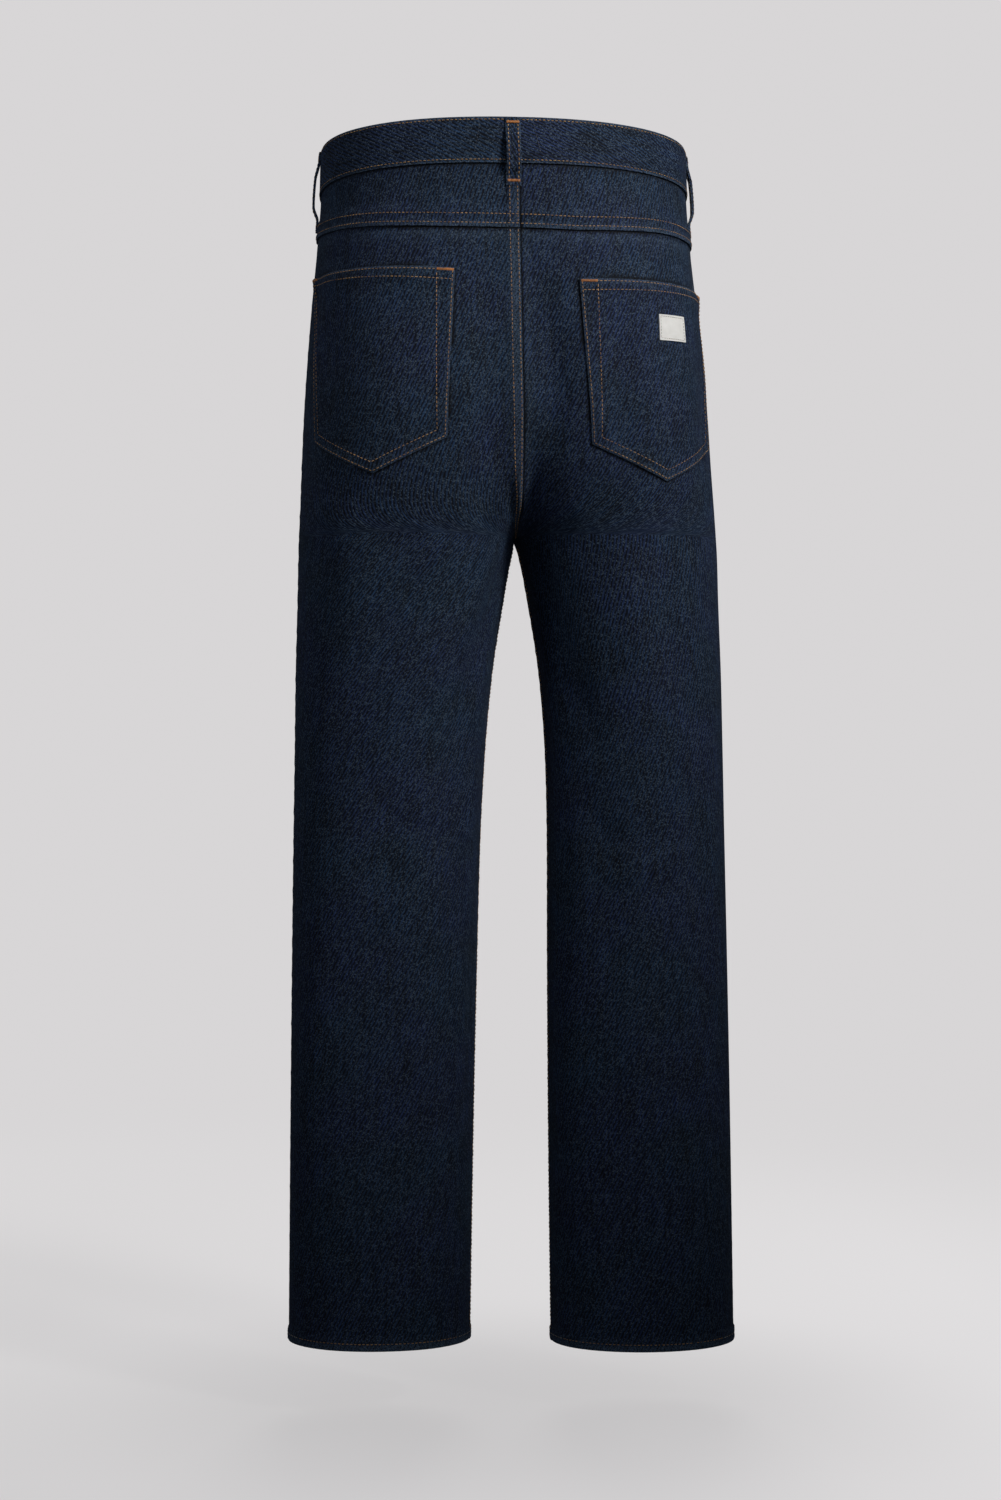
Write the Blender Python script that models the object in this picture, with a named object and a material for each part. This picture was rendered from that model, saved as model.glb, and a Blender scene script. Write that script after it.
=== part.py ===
"""Straight leg jeans, five pocket cut, filled out with nobody in them.

Millimetres in the tables, metres in the meshes.  +Z is up, the fly faces -Y,
the seat faces +Y and +X is the wearer's left.  The origin is the middle of the
waist opening, level with the top of the waistband at the sides.

Each half of the jeans is one tube, the trouser leg, lofted through SECTIONS.
Above the crotch the tube reaches past the middle plane and is cut there, so
the cut gives the true line of the rise seam.  A panel is a patch of that tube
between its seams, with a second skin inside it and closed rims all round.
"""
import bpy
import math
import numpy as np

# One row per level of the left leg tube, top to bottom, seen from above.
# level   height of the section along the garment
# outer   x of the outermost point     inner   x of the innermost point
# back_x, back_y     the rearmost point, over the middle of the seat or calf
# front_x, front_y   the foremost point
# side_y  y of the outermost point     full    2 is an ellipse, more is fuller
# lean    sideways set of the whole level
# middle  extra sideways set at the middle plane, nothing at the outseam
COLUMNS = ("level", "outer", "inner", "back_x", "back_y", "front_x",
           "front_y", "side_y", "full", "lean", "middle")
SECTIONS = (
    (14.0, 165.5, -165.5, 0.0, 117.5, 0.0, -112.5, 0.0, 2.12, 0.0, 1.0),
    (0.0, 166.0, -166.0, 2.0, 118.0, 1.0, -113.0, 0.0, 2.12, 0.0, 1.0),
    (-40.0, 167.2, -166.0, 12.0, 119.5, 5.0, -114.5, 0.0, 2.14, 0.0, 0.5),
    (-90.0, 171.2, -167.0, 36.0, 122.5, 10.0, -116.5, 0.0, 2.16, 0.0, 0.0),
    (-140.0, 176.5, -162.0, 56.0, 126.5, 18.0, -118.0, 0.0, 2.18, -0.5, -0.5),
    (-190.0, 181.0, -146.0, 71.0, 129.0, 30.0, -119.0, 1.0, 2.20, -1.0, -1.0),
    (-240.0, 184.7, -116.0, 80.0, 127.5, 44.0, -119.0, 2.0, 2.20, -1.5, -2.0),
    (-285.0, 187.2, -68.0, 86.0, 121.0, 58.0, -117.5, 3.0, 2.20, -2.0, -3.0),
    (-325.0, 189.6, -24.0, 90.5, 111.0, 72.0, -114.5, 3.0, 2.18, -3.0, -4.5),
    (-355.0, 191.5, 0.0, 95.0, 103.5, 82.0, -111.0, 2.0, 2.16, -3.6, -6.0),
    (-372.0, 192.3, 5.0, 97.5, 100.5, 88.0, -109.0, 1.0, 2.15, -4.0, -6.5),
    (-409.0, 193.3, 12.0, 102.0, 95.0, 97.0, -104.0, 0.0, 2.14, -4.3, -6.5),
    (-483.0, 195.8, 23.3, 109.0, 85.0, 108.0, -94.0, -1.0, 2.12, -5.0, -6.0),
    (-556.0, 197.2, 29.2, 113.0, 77.0, 112.5, -84.0, -1.0, 2.10, -5.5, -5.0),
    (-630.0, 198.6, 31.9, 115.3, 71.5, 115.3, -76.0, -1.0, 2.10, -5.8, -3.5),
    (-740.0, 200.6, 33.4, 117.0, 67.5, 117.0, -70.0, -1.0, 2.10, -6.4, -1.5),
    (-900.0, 203.0, 35.6, 119.4, 65.0, 119.4, -66.5, -1.0, 2.08, -7.2, 0.5),
    (-1095.0, 205.3, 38.3, 121.8, 64.0, 121.8, -65.0, -0.5, 2.06, -8.0, 1.8),
)
CROTCH = -355.0          # level where the two legs part
WAIST_RISE = 12.5        # the waist climbs to the back and dips at the front
WAIST_DIP = -3.5
RISE_ENDS = -210.0       # the climb has died out at this level
RISE_FULL = -45.0        # and is whole above this one

CLOTH = 1.2              # one ply of denim
GAP = 0.3                # daylight left at every seam
BAND_LOW = -40.0         # lower edge of the waistband
BAND_OUT = 0.8           # the band stands proud of the panels
BAND_THICK = 2.6
BAND_LAP = 22.0          # each end of the band passes the middle by this
LAP_LIFT = 1.55          # the lapped ends part by this, one out and one in
LAP_EASE = 62.0          # and are back on the ring at this distance
HEM_DEEP = 10.0
HEM_THICK = 3.0
OUTSEAM = -9.0           # degrees from straight out to the side, to the front
INSEAM = 180.0

# side, sign, hem level, turn of the seams at the hem in degrees
SIDES = (("left", 1, -1085.0, -5.0), ("right", -1, -1090.0, 4.0))

# Yoke seam: distance from the centre back seam, level
YOKE = ((0.0, -93.5), (60.0, -93.5), (100.0, -91.5), (145.0, -88.0),
        (190.0, -84.5), (250.0, -78.0))

# Back pockets: distance from the centre back seam and level of each corner
POCKETS = {
    "left": {"top_in": (54.5, -130.0), "top_out": (222.0, -123.0),
             "low_in": (66.0, -273.0), "low_out": (202.0, -273.0),
             "tip": (134.0, -304.0)},
    "right": {"top_in": (54.5, -137.5), "top_out": (221.0, -134.0),
              "low_in": (64.5, -278.0), "low_out": (206.0, -277.0),
              "tip": (136.0, -308.5)},
}
POCKET_LIFT = 0.6
LABEL = {"near": 128.0, "far": 159.5, "top": -163.5, "low": -185.5}

SCOOP_FROM = 0.52        # share of the front, from the fly, where it starts
SCOOP_DEEP = 76.0
FLY_LOW = -205.0
SHIELD_FROM = -14.0
SHIELD_TO = 36.0

# Belt loops: name, side, which centre line, distance from it, low end
LOOPS = (("belt_loop_back", 1, "back", 1.5, -61.0),
         ("belt_loop_side_left", 1, "back", 232.0, -73.0),
         ("belt_loop_side_right", -1, "back", 226.0, -75.0),
         ("belt_loop_front_left", 1, "front", 88.0, -66.0),
         ("belt_loop_front_right", -1, "front", 88.0, -66.0))
LOOP_WIDE = 13.0
LOOP_THICK = 1.8
# share of the way down the loop, height of its inner face over the tube:
# it leaves the band softly and is fullest below the middle
LOOP_RUN = ((0.0, 1.2), (0.11, 1.3), (0.20, 3.0), (0.30, 5.0),
            (0.44, 5.7), (0.60, 6.0), (0.72, 5.5), (0.79, 3.2),
            (0.84, 0.8), (1.0, 0.6))
LOOP_TOP = -0.5

BUTTON_LEVEL = -20.0
# Button outline, from the outer surface of the band: height, radius
BUTTON = ((-2.85, 0.0), (-2.85, 2.2), (0.3, 2.2), (0.3, 7.6), (0.9, 8.5),
          (2.0, 8.6), (2.9, 8.1), (3.4, 7.2), (3.1, 5.6), (3.1, 0.0))
BUTTON_HOLE = 2.9

# Levels of the rows of every leg panel: at the rise seam, where they crowd
# together about the crotch, and at the outseam, where they are even
ROWS = ((-115.0, -115.0), (-142.0, -139.0), (-168.0, -163.0),
        (-193.0, -187.0), (-216.0, -210.0), (-238.0, -232.0),
        (-258.0, -254.0), (-276.0, -275.0), (-292.0, -296.0),
        (-306.0, -316.0), (-318.0, -335.0), (-328.0, -353.0),
        (-336.5, -370.0), (-343.5, -386.0), (-348.8, -401.0),
        (-352.6, -415.0), (-355.0, -429.0), (-362.0, -445.0),
        (-374.0, -462.0), (-392.0, -482.0), (-416.0, -506.0),
        (-448.0, -534.0), (-488.0, -568.0), (-534.0, -608.0),
        (-590.0, -655.0), (-655.0, -710.0), (-730.0, -775.0),
        (-815.0, -847.0), (-905.0, -922.0), (-990.0, -996.0))


# ---------------------------------------------------------------- the tube
TABLE = np.array(SECTIONS)[::-1]


def column(level, name):
    """One column of SECTIONS at any level, joined without overshoot."""
    xs, ys = TABLE[:, 0], TABLE[:, COLUMNS.index(name)]
    level = np.clip(level, xs[0], xs[-1])
    step = np.diff(xs)
    rise = np.diff(ys) / step
    slope = np.zeros(len(xs))
    slope[0], slope[-1] = rise[0], rise[-1]
    for i in range(1, len(xs) - 1):
        if rise[i - 1] * rise[i] > 0:
            before, after = step[i - 1], step[i]
            slope[i] = 3 * (before + after) / (
                (2 * after + before) / rise[i - 1]
                + (after + 2 * before) / rise[i])
    i = np.clip(np.searchsorted(xs, level, side="right") - 1, 0, len(xs) - 2)
    t = (level - xs[i]) / step[i]
    return ((2 * t**3 - 3 * t**2 + 1) * ys[i]
            + (t**3 - 2 * t**2 + t) * step[i] * slope[i]
            + (3 * t**2 - 2 * t**3) * ys[i + 1]
            + (t**3 - t**2) * step[i] * slope[i + 1])


def ease(low, high, value):
    t = np.clip((value - low) / (high - low), 0.0, 1.0)
    return t * t * (3 - 2 * t)


def section_point(level, degrees):
    """x and y of the left tube before it is set sideways."""
    level, degrees = np.broadcast_arrays(np.asarray(level, float),
                                         np.asarray(degrees, float))
    c, s = np.cos(np.radians(degrees)), np.sin(np.radians(degrees))
    full = column(level, "full")
    reach = (np.abs(c)**full + np.abs(s)**full)**(-1 / full)
    mid = np.where(s >= 0, column(level, "back_x"), column(level, "front_x"))
    side_y = column(level, "side_y")
    wide = np.where(c >= 0, column(level, "outer") - mid,
                    mid - column(level, "inner"))
    deep = np.where(s >= 0, column(level, "back_y") - side_y,
                    side_y - column(level, "front_y"))
    return mid + wide * c * reach, side_y + deep * s * reach


def tube(sign, level, degrees):
    """Points of the outer face of a leg, in millimetres."""
    x, y = section_point(level, degrees)
    level = np.broadcast_to(np.asarray(level, float), x.shape)
    tilt = y / 118.0
    z = level + ((WAIST_RISE * tilt + WAIST_DIP * tilt**2)
                 * ease(RISE_ENDS, RISE_FULL, level))
    inward = 1 - np.clip(x / column(level, "outer"), 0, 1)**2
    x = sign * x + column(level, "lean") + column(level, "middle") * inward
    return np.stack([x, y, z], -1)


def outward(sign, level, degrees):
    """Unit normals of the same points."""
    across = tube(sign, level, degrees + 0.2) - tube(sign, level, degrees - 0.2)
    up = tube(sign, level + 0.5, degrees) - tube(sign, level - 0.5, degrees)
    normal = sign * np.cross(across, up)
    return normal / np.linalg.norm(normal, axis=-1, keepdims=True)


def middle_angle(level, back, x=GAP / 2):
    """Where the tube meets the middle plane, or stands x to the side of it."""
    level = np.asarray(level, float)
    near = np.full(level.shape, 60.0 if back else 300.0)
    far = np.full(level.shape, INSEAM)
    for _ in range(40):
        half = (near + far) / 2
        out = section_point(level, half)[0] > x
        near, far = np.where(out, half, near), np.where(out, far, half)
    return near


def turn(level, seam_turn, hem):
    return seam_turn * ease(CROTCH, hem, level)


def inner_edge(level, back, seam_turn, hem):
    """Rise seam above the crotch, inseam below it."""
    angle = middle_angle(level, back)
    step = GAP / 2 / 90.0 * 57.3
    seam = INSEAM + (-step if back else step) + turn(level, seam_turn, hem)
    low = level <= CROTCH
    return np.where(low, seam, np.minimum(angle, INSEAM - step) if back
                    else np.maximum(angle, INSEAM + step))


def outer_edge(level, back, seam_turn, hem):
    step = GAP / 2 / 88.0 * 57.3
    seam = OUTSEAM + turn(level, seam_turn, hem)
    return seam + step if back else seam - step + 360.0


def angle_at(sign, level, distance, back=True):
    """Angle of the point at a distance round the tube from a centre line."""
    start = middle_angle(np.array(level), back, 0.0)
    angles = np.linspace(start, -60.0 if back else 420.0, 900)
    run = tube(sign, np.full(900, float(level)), angles)
    length = np.concatenate([[0], np.cumsum(
        np.linalg.norm(np.diff(run, axis=0), axis=1))])
    return np.interp(distance, length, angles)


# ------------------------------------------------------------- making solids
def add_mesh(name, verts, faces):
    mesh = bpy.data.meshes.new(name)
    mesh.from_pydata([tuple(v) for v in np.asarray(verts) * 0.001], [], faces)
    mesh.validate()
    obj = bpy.data.objects.new(name, mesh)
    bpy.context.collection.objects.link(obj)
    return obj


def wall(name, sign, level, degrees, top, thick):
    """A closed sheet on the tube: outer face at top, inner face under it.

    level and degrees are grids, rows down the garment and columns across it;
    top and thick are numbers or grids of the same shape.
    """
    skin = tube(sign, level, degrees)
    normal = outward(sign, level, degrees)
    return closed_sheet(name, skin, normal, top, thick, sign)


def closed_sheet(name, skin, normal, top, thick, sign):
    rows, cols = skin.shape[:2]
    top = np.broadcast_to(np.asarray(top, float), (rows, cols))[..., None]
    thick = np.broadcast_to(np.asarray(thick, float), (rows, cols))[..., None]
    outer = skin + normal * top
    inner = skin + normal * (top - thick)
    verts = np.concatenate([outer.reshape(-1, 3), inner.reshape(-1, 3)])
    count = rows * cols
    faces = []
    for r in range(rows - 1):
        for c in range(cols - 1):
            a, b = r * cols + c, r * cols + c + 1
            d, e = a + cols, b + cols
            faces.append((a, b, e, d))
            faces.append((a + count, d + count, e + count, b + count))
    rim = ([(0, c) for c in range(cols)]
           + [(r, cols - 1) for r in range(1, rows)]
           + [(rows - 1, c) for c in range(cols - 2, -1, -1)]
           + [(r, 0) for r in range(rows - 2, 0, -1)])
    ring = [r * cols + c for r, c in rim]
    for a, b in zip(ring, ring[1:] + ring[:1]):
        faces.append((b, a, a + count, b + count))
    obj = add_mesh(name, verts, faces)
    if signed_volume(obj) < 0:
        obj.data.flip_normals()
    return obj


def signed_volume(obj):
    total = 0.0
    verts = obj.data.vertices
    for poly in obj.data.polygons:
        ids = poly.vertices
        a = verts[ids[0]].co
        for i in range(1, len(ids) - 1):
            b, c = verts[ids[i]].co, verts[ids[i + 1]].co
            total += a.dot(b.cross(c)) / 6
    return total


def keep_off_middle(obj, sign):
    """Keep the inner skin of a panel on its own side of the middle plane.

    The middle plane is bent sideways a little, so the test is made on how far
    the rim already stands from it.
    """
    half = GAP / 2
    for vert in obj.data.vertices:
        x, z = vert.co.x * 1000, vert.co.z * 1000
        if z < CROTCH - 1:
            continue
        plane = float(column(z, "lean") + column(z, "middle"))
        if sign * (x - plane) < half:
            vert.co.x = (plane + sign * half) * 0.001


# ------------------------------------------------------------------- panels
def yoke_level(sign, distance):
    near, low = np.array(YOKE).T
    level = np.interp(distance, near, low)
    if sign < 0:
        level = level - 1.5 * ease(0, 60, distance) - 4.5 * ease(120, 245, distance)
    return level


def yoke_line(sign, seam_turn, hem):
    """Angles and levels of the yoke seam, from the outseam to the rise."""
    around = np.full(COLS, -88.0)
    a = outer_edge(around, True, seam_turn, hem)
    b = inner_edge(around, True, seam_turn, hem)
    angles = a + (b - a) * np.linspace(0, 1, COLS)
    levels = np.array([yoke_level(sign, distance_at(sign, -88.0, t))
                       for t in angles])
    angles[0] = outer_edge(levels[:1], True, seam_turn, hem)[0]
    angles[-1] = inner_edge(levels[-1:], True, seam_turn, hem)[0]
    return angles, levels


def distance_at(sign, level, degrees):
    """Distance of a point round the tube from the centre back."""
    start = float(middle_angle(np.array(level), True, 0.0))
    run = tube(sign, np.full(200, float(level)),
               np.linspace(start, degrees, 200))
    return float(np.linalg.norm(np.diff(run, axis=0), axis=1).sum())


def leg_rows(hem, share):
    """Levels of the rows; share is 0 at the rise seam, 1 at the outseam."""
    rows = [rise + (out - rise) * share**1.4 for rise, out in ROWS]
    last = (hem + HEM_DEEP + 0.8, hem + HEM_DEEP, hem)
    return rows + [np.full(share.shape, row) for row in last]


def hem_thickness(rows, cols):
    thick = np.full((rows, cols), CLOTH)
    thick[-2:] = HEM_THICK
    return thick


COLS = 11               # columns of a back panel


def back_panel(side, sign, hem, seam_turn):
    angles, levels = yoke_line(sign, seam_turn, hem)
    share = np.linspace(0, 1, COLS)
    level = np.array([levels - GAP / 2] + leg_rows(hem, 1 - share))
    degrees = np.zeros(level.shape)
    for i in range(len(level)):
        a = outer_edge(level[i][:1], True, seam_turn, hem)
        b = inner_edge(level[i][-1:], True, seam_turn, hem)
        degrees[i] = a + (b - a) * share
    degrees[0] = angles
    obj = wall("back_" + side, sign, level, degrees, 0.0,
               hem_thickness(*level.shape))
    keep_off_middle(obj, sign)
    return obj


def front_panel(side, sign, hem, seam_turn):
    share = np.concatenate([np.linspace(0, SCOOP_FROM, 5),
                            SCOOP_FROM + (1 - SCOOP_FROM)
                            * np.array([0.04, 0.14, 0.30, 0.52, 0.76, 1.0])])
    rows = leg_rows(hem, share)[1:]
    past = np.clip((share - SCOOP_FROM) / (1 - SCOOP_FROM), 0, 1)
    top = BAND_LOW - GAP - SCOOP_DEEP * np.sqrt(1 - (1 - past)**2)
    first = rows[0]
    level = [top + (first - top) * k for k in (0, 0.36, 0.7)]
    level = np.array(level + rows)
    degrees = np.zeros(level.shape)
    for i in range(len(level)):
        a = inner_edge(level[i][:1], False, seam_turn, hem)
        b = outer_edge(level[i][-1:], False, seam_turn, hem)
        degrees[i] = a + (b - a) * share
    obj = wall("front_" + side, sign, level, degrees, 0.0,
               hem_thickness(*level.shape))
    keep_off_middle(obj, sign)
    return obj


def yoke_panel(side, sign, hem, seam_turn):
    angles, levels = yoke_line(sign, seam_turn, hem)
    top = np.full(COLS, BAND_LOW - GAP)
    level = np.array([top + (levels + GAP / 2 - top) * k
                      for k in (0, 0.33, 0.67, 1)])
    degrees = np.zeros(level.shape)
    share = np.linspace(0, 1, COLS)
    for i in range(len(level)):
        a = outer_edge(level[i][:1], True, seam_turn, hem)
        b = inner_edge(level[i][-1:], True, seam_turn, hem)
        degrees[i] = a + (b - a) * share
    degrees[-1] = angles
    obj = wall("yoke_" + side, sign, level, degrees, 0.0, CLOTH)
    keep_off_middle(obj, sign)
    return obj


def pocket_patch(side, sign, across, down):
    """Level and angle of a point of a back pocket.

    across runs 0 to 1 from the centre back outward, down 0 to 1.
    """
    p = POCKETS[side]
    top = np.array(p["top_in"]) * (1 - across) + np.array(p["top_out"]) * across
    if across <= 0.5:
        low = (np.array(p["low_in"]) * (1 - 2 * across)
               + np.array(p["tip"]) * 2 * across)
    else:
        low = (np.array(p["tip"]) * (2 - 2 * across)
               + np.array(p["low_out"]) * (2 * across - 1))
    distance, level = top * (1 - down) + low * down
    return level, angle_at(sign, level, distance)


def back_pocket(side, sign):
    across = np.linspace(0, 1, 11)
    down = np.linspace(0, 1, 8)
    grid = np.array([[pocket_patch(side, sign, a, d) for a in across]
                     for d in down])
    return wall("back_pocket_" + side, sign, grid[..., 0], grid[..., 1],
                POCKET_LIFT + CLOTH, CLOTH)


def pocket_label():
    grid = np.array([[(level, angle_at(-1, level, distance))
                      for distance in np.linspace(LABEL["near"],
                                                  LABEL["far"], 4)]
                     for level in np.linspace(LABEL["top"], LABEL["low"], 3)])
    lift = POCKET_LIFT + CLOTH + 0.35
    return wall("pocket_label", -1, grid[..., 0], grid[..., 1], lift + 1.0, 1.0)


def front_facing(side, sign, hem, seam_turn):
    """The denim that shows behind the scoop of the front pocket."""
    share = np.linspace(SCOOP_FROM - 0.10, 1, 8)
    top, low = BAND_LOW - GAP, BAND_LOW - SCOOP_DEEP - 16.0
    level = np.array([np.full(8, v) for v in np.linspace(top, low, 5)])
    degrees = np.zeros(level.shape)
    for i in range(5):
        a = inner_edge(level[i], False, seam_turn, hem)
        b = outer_edge(level[i], False, seam_turn, hem)
        degrees[i] = a + (b - a) * share
    return wall("pocket_facing_" + side, sign, level, degrees,
                -CLOTH - 0.9, 1.0)


def across_middle(level, x, back):
    """A point and normal at x from the middle, on whichever half has it."""
    sign = 1 if x >= 0 else -1
    angle = middle_angle(np.array(float(level)), back, abs(x))
    lv = np.array(float(level))
    return tube(sign, lv, angle), outward(sign, lv, angle)


def fly_shield():
    xs = (SHIELD_FROM, -7.0, 0.001, 9.0, 18.0, 27.0, SHIELD_TO)
    levels = np.linspace(BAND_LOW - GAP, FLY_LOW, 9)
    skin, normal = np.zeros((9, 7, 3)), np.zeros((9, 7, 3))
    for r, level in enumerate(levels):
        for c, x in enumerate(xs):
            if r == 8 and c > 3:
                level = levels[8] + (c - 3) * 4.0
            skin[r, c], normal[r, c] = across_middle(level, x, False)
    return closed_sheet("fly_shield", skin, normal, -CLOTH - 0.7, 1.6, 1)


# ------------------------------------------------------- waistband and loops
def band_columns():
    """Stations of the band: point of the ring as (half, angle), and lift."""
    stations = []
    for x in (-BAND_LAP, -BAND_LAP / 2):
        stations.append((-1, float(middle_angle(np.array(-20.0), False, -x)), 1))
    for x in (0.0, BAND_LAP / 2, BAND_LAP, 42.0):
        lift = 1 if x <= BAND_LAP else float(1 - ease(BAND_LAP, LAP_EASE, x))
        stations.append((1, float(middle_angle(np.array(-20.0), False, x)), lift))
    start = float(middle_angle(np.array(-20.0), False, LAP_EASE))
    back = float(middle_angle(np.array(-20.0), True, 0.0)) + 360
    for angle in np.linspace(start, back, 27)[:-1]:
        stations.append((1, float(angle), 0))
    for angle in np.linspace(back, start, 27):
        stations.append((-1, float(angle), 0))
    for x in (42.0, BAND_LAP, BAND_LAP / 2, 0.0):
        lift = 1 if x <= BAND_LAP else float(1 - ease(BAND_LAP, LAP_EASE, x))
        stations.append((-1, float(middle_angle(np.array(-20.0), False, x)),
                         -lift))
    for x in (BAND_LAP / 2, BAND_LAP):
        stations.append((1, float(middle_angle(np.array(-20.0), False, x)), -1))
    return stations


def waistband():
    stations = band_columns()
    levels = np.array([0.0, -13.0, -27.0, BAND_LOW])
    count = len(stations)
    skin, normal = np.zeros((4, count, 3)), np.zeros((4, count, 3))
    lift = np.zeros((4, count))
    for c, (half, angle, shift) in enumerate(stations):
        degrees = np.full(4, angle)
        skin[:, c] = tube(half, levels, degrees)
        normal[:, c] = outward(half, levels, degrees)
        lift[:, c] = BAND_OUT + LAP_LIFT * shift
    band = closed_sheet("waistband", skin, normal, lift, BAND_THICK, 1)
    place, axis = across_middle(BUTTON_LEVEL, 0.001, False)
    cutter = lathe("cutter_button_hole", place, axis,
                   ((BAND_OUT + LAP_LIFT - BAND_THICK - 0.25, 0.0),
                    (BAND_OUT + LAP_LIFT - BAND_THICK - 0.25, BUTTON_HOLE),
                    (5.0, BUTTON_HOLE), (5.0, 0.0)), 24)
    cutter.hide_render = True
    cutter.display_type = "WIRE"
    cut = band.modifiers.new("button_hole", "BOOLEAN")
    cut.operation = "DIFFERENCE"
    cut.solver = "EXACT"
    cut.object = cutter
    return band


def lathe(name, place, axis, outline, around):
    """Turn an outline of (height, radius) about an axis through a place."""
    axis = np.asarray(axis, float)
    side = np.cross(axis, (0.0, 0.0, 1.0))
    side /= np.linalg.norm(side)
    up = np.cross(side, axis)
    verts, rings = [], []
    for height, radius in outline:
        if radius == 0:
            rings.append([len(verts)])
            verts.append(place + axis * height)
            continue
        rings.append(list(range(len(verts), len(verts) + around)))
        for i in range(around):
            t = 2 * math.pi * i / around
            verts.append(place + axis * height
                         + radius * (math.cos(t) * side + math.sin(t) * up))
    faces = []
    for a, b in zip(rings, rings[1:]):
        for i in range(around):
            j = (i + 1) % around
            if len(a) == 1:
                faces.append((a[0], b[j], b[i]))
            elif len(b) == 1:
                faces.append((a[i], a[j], b[0]))
            else:
                faces.append((a[i], a[j], b[j], b[i]))
    obj = add_mesh(name, verts, faces)
    if signed_volume(obj) < 0:
        obj.data.flip_normals()
    return obj


def waist_button():
    place, axis = across_middle(BUTTON_LEVEL, 0.001, False)
    place = place + axis * (BAND_OUT + LAP_LIFT)
    return lathe("waist_button", place, axis, BUTTON, 24)


def belt_loop(name, sign, line, distance, low):
    """A folded strip, sewn at both ends and standing off in between."""
    share = np.array([row[0] for row in LOOP_RUN])
    levels = LOOP_TOP + (low - LOOP_TOP) * share
    height = np.array([row[1] for row in LOOP_RUN])
    rows = len(levels)
    skin, normal = np.zeros((rows, 3, 3)), np.zeros((rows, 3, 3))
    angle = np.array(angle_at(sign, -30.0, distance, line == "back"))
    for r, level in enumerate(levels):
        lv = np.array(float(level))
        if distance < 100.0:
            angle = np.array(angle_at(sign, level, distance, line == "back"))
        place = tube(sign, lv, angle)
        out = outward(sign, lv, angle)
        across = np.cross(out, (0.0, 0.0, 1.0))
        across /= np.linalg.norm(across)
        for c, side in enumerate((-LOOP_WIDE / 2, 0.0, LOOP_WIDE / 2)):
            skin[r, c] = place + across * side
            normal[r, c] = out
    tops = np.broadcast_to((height + LOOP_THICK)[:, None], (rows, 3))
    return closed_sheet(name, skin, normal, tops, LOOP_THICK, sign)


# --------------------------------------------------------------------- build
for old in list(bpy.data.objects):
    bpy.data.objects.remove(old, do_unlink=True)

waistband()
waist_button()
fly_shield()
for side, sign, hem, seam_turn in SIDES:
    yoke_panel(side, sign, hem, seam_turn)
    back_panel(side, sign, hem, seam_turn)
    front_panel(side, sign, hem, seam_turn)
    front_facing(side, sign, hem, seam_turn)
    back_pocket(side, sign)
pocket_label()
for name, sign, line, distance, low in LOOPS:
    belt_loop(name, sign, line, distance, low)
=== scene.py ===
# %% [markdown]
# # Straight leg jeans, filled out with nobody inside
#
# The solids of the garment are already made: each panel is a stiff wall with the
# right place and size.  This lesson puts real cloth on those walls.  Every panel
# is made again as a fine, thin sheet on the same form, with its folded edges, soft
# creases and puckers, and then it is sewn: each stitch is a small piece of thread.

# %% Load the frame
import math
import bpy
import numpy as np
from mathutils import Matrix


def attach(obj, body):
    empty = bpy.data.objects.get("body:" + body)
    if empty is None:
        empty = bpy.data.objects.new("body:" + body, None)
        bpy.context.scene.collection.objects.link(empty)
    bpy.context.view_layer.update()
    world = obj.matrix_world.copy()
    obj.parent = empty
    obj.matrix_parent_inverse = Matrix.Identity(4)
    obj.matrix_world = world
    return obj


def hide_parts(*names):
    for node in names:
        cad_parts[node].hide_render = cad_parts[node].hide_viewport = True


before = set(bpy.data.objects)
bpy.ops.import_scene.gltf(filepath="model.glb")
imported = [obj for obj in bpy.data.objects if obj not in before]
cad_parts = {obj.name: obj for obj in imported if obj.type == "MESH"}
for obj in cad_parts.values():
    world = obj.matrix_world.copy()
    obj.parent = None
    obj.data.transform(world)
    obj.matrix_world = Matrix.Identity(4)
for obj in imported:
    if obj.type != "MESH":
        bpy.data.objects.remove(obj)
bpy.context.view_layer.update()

bpy.ops.object.select_all(action="DESELECT")

# %% [markdown]
# ## The camera
#
# The jeans are looked at from behind, from the height of the knees and slightly
# from the wearer's left.  The camera stands 2.6 m away and looks level, so upright
# seams stay upright.  The view takes in 1.38 m of height at the garment, and that
# fixes the length of the lens.

# %% Camera
CAMERA_AWAY = 2.600
CAMERA_TURN = math.radians(5.0)
CAMERA_HEIGHT = -0.547
CAMERA_ASIDE = 0.0029
FIELD_HIGH = 1.380
SENSOR_HIGH = 36.0

camera_data = bpy.data.cameras.new("camera")
camera_data.sensor_fit = "VERTICAL"
camera_data.sensor_height = SENSOR_HIGH
camera_data.lens = SENSOR_HIGH * CAMERA_AWAY / FIELD_HIGH
camera = bpy.data.objects.new("camera", camera_data)
bpy.context.collection.objects.link(camera)
camera.location = (CAMERA_AWAY * math.sin(CAMERA_TURN) + CAMERA_ASIDE,
                   CAMERA_AWAY * math.cos(CAMERA_TURN), CAMERA_HEIGHT)
camera.rotation_euler = (math.radians(90.0), 0.0, math.pi - CAMERA_TURN)
bpy.context.scene.camera = camera
print("lens", round(camera_data.lens, 1), "mm")

# %% [markdown]
# ## The form under the cloth
#
# A tailor's pattern gives girths at a few heights and lets the cloth pass smoothly
# between them.  The table does the same: each row is one level of the left leg,
# in millimetres, and the curve between the rows never overshoots.  Above the crotch
# the section of a leg reaches past the middle plane and is cut there, and that cut
# is the true line of the rise seam.

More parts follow.
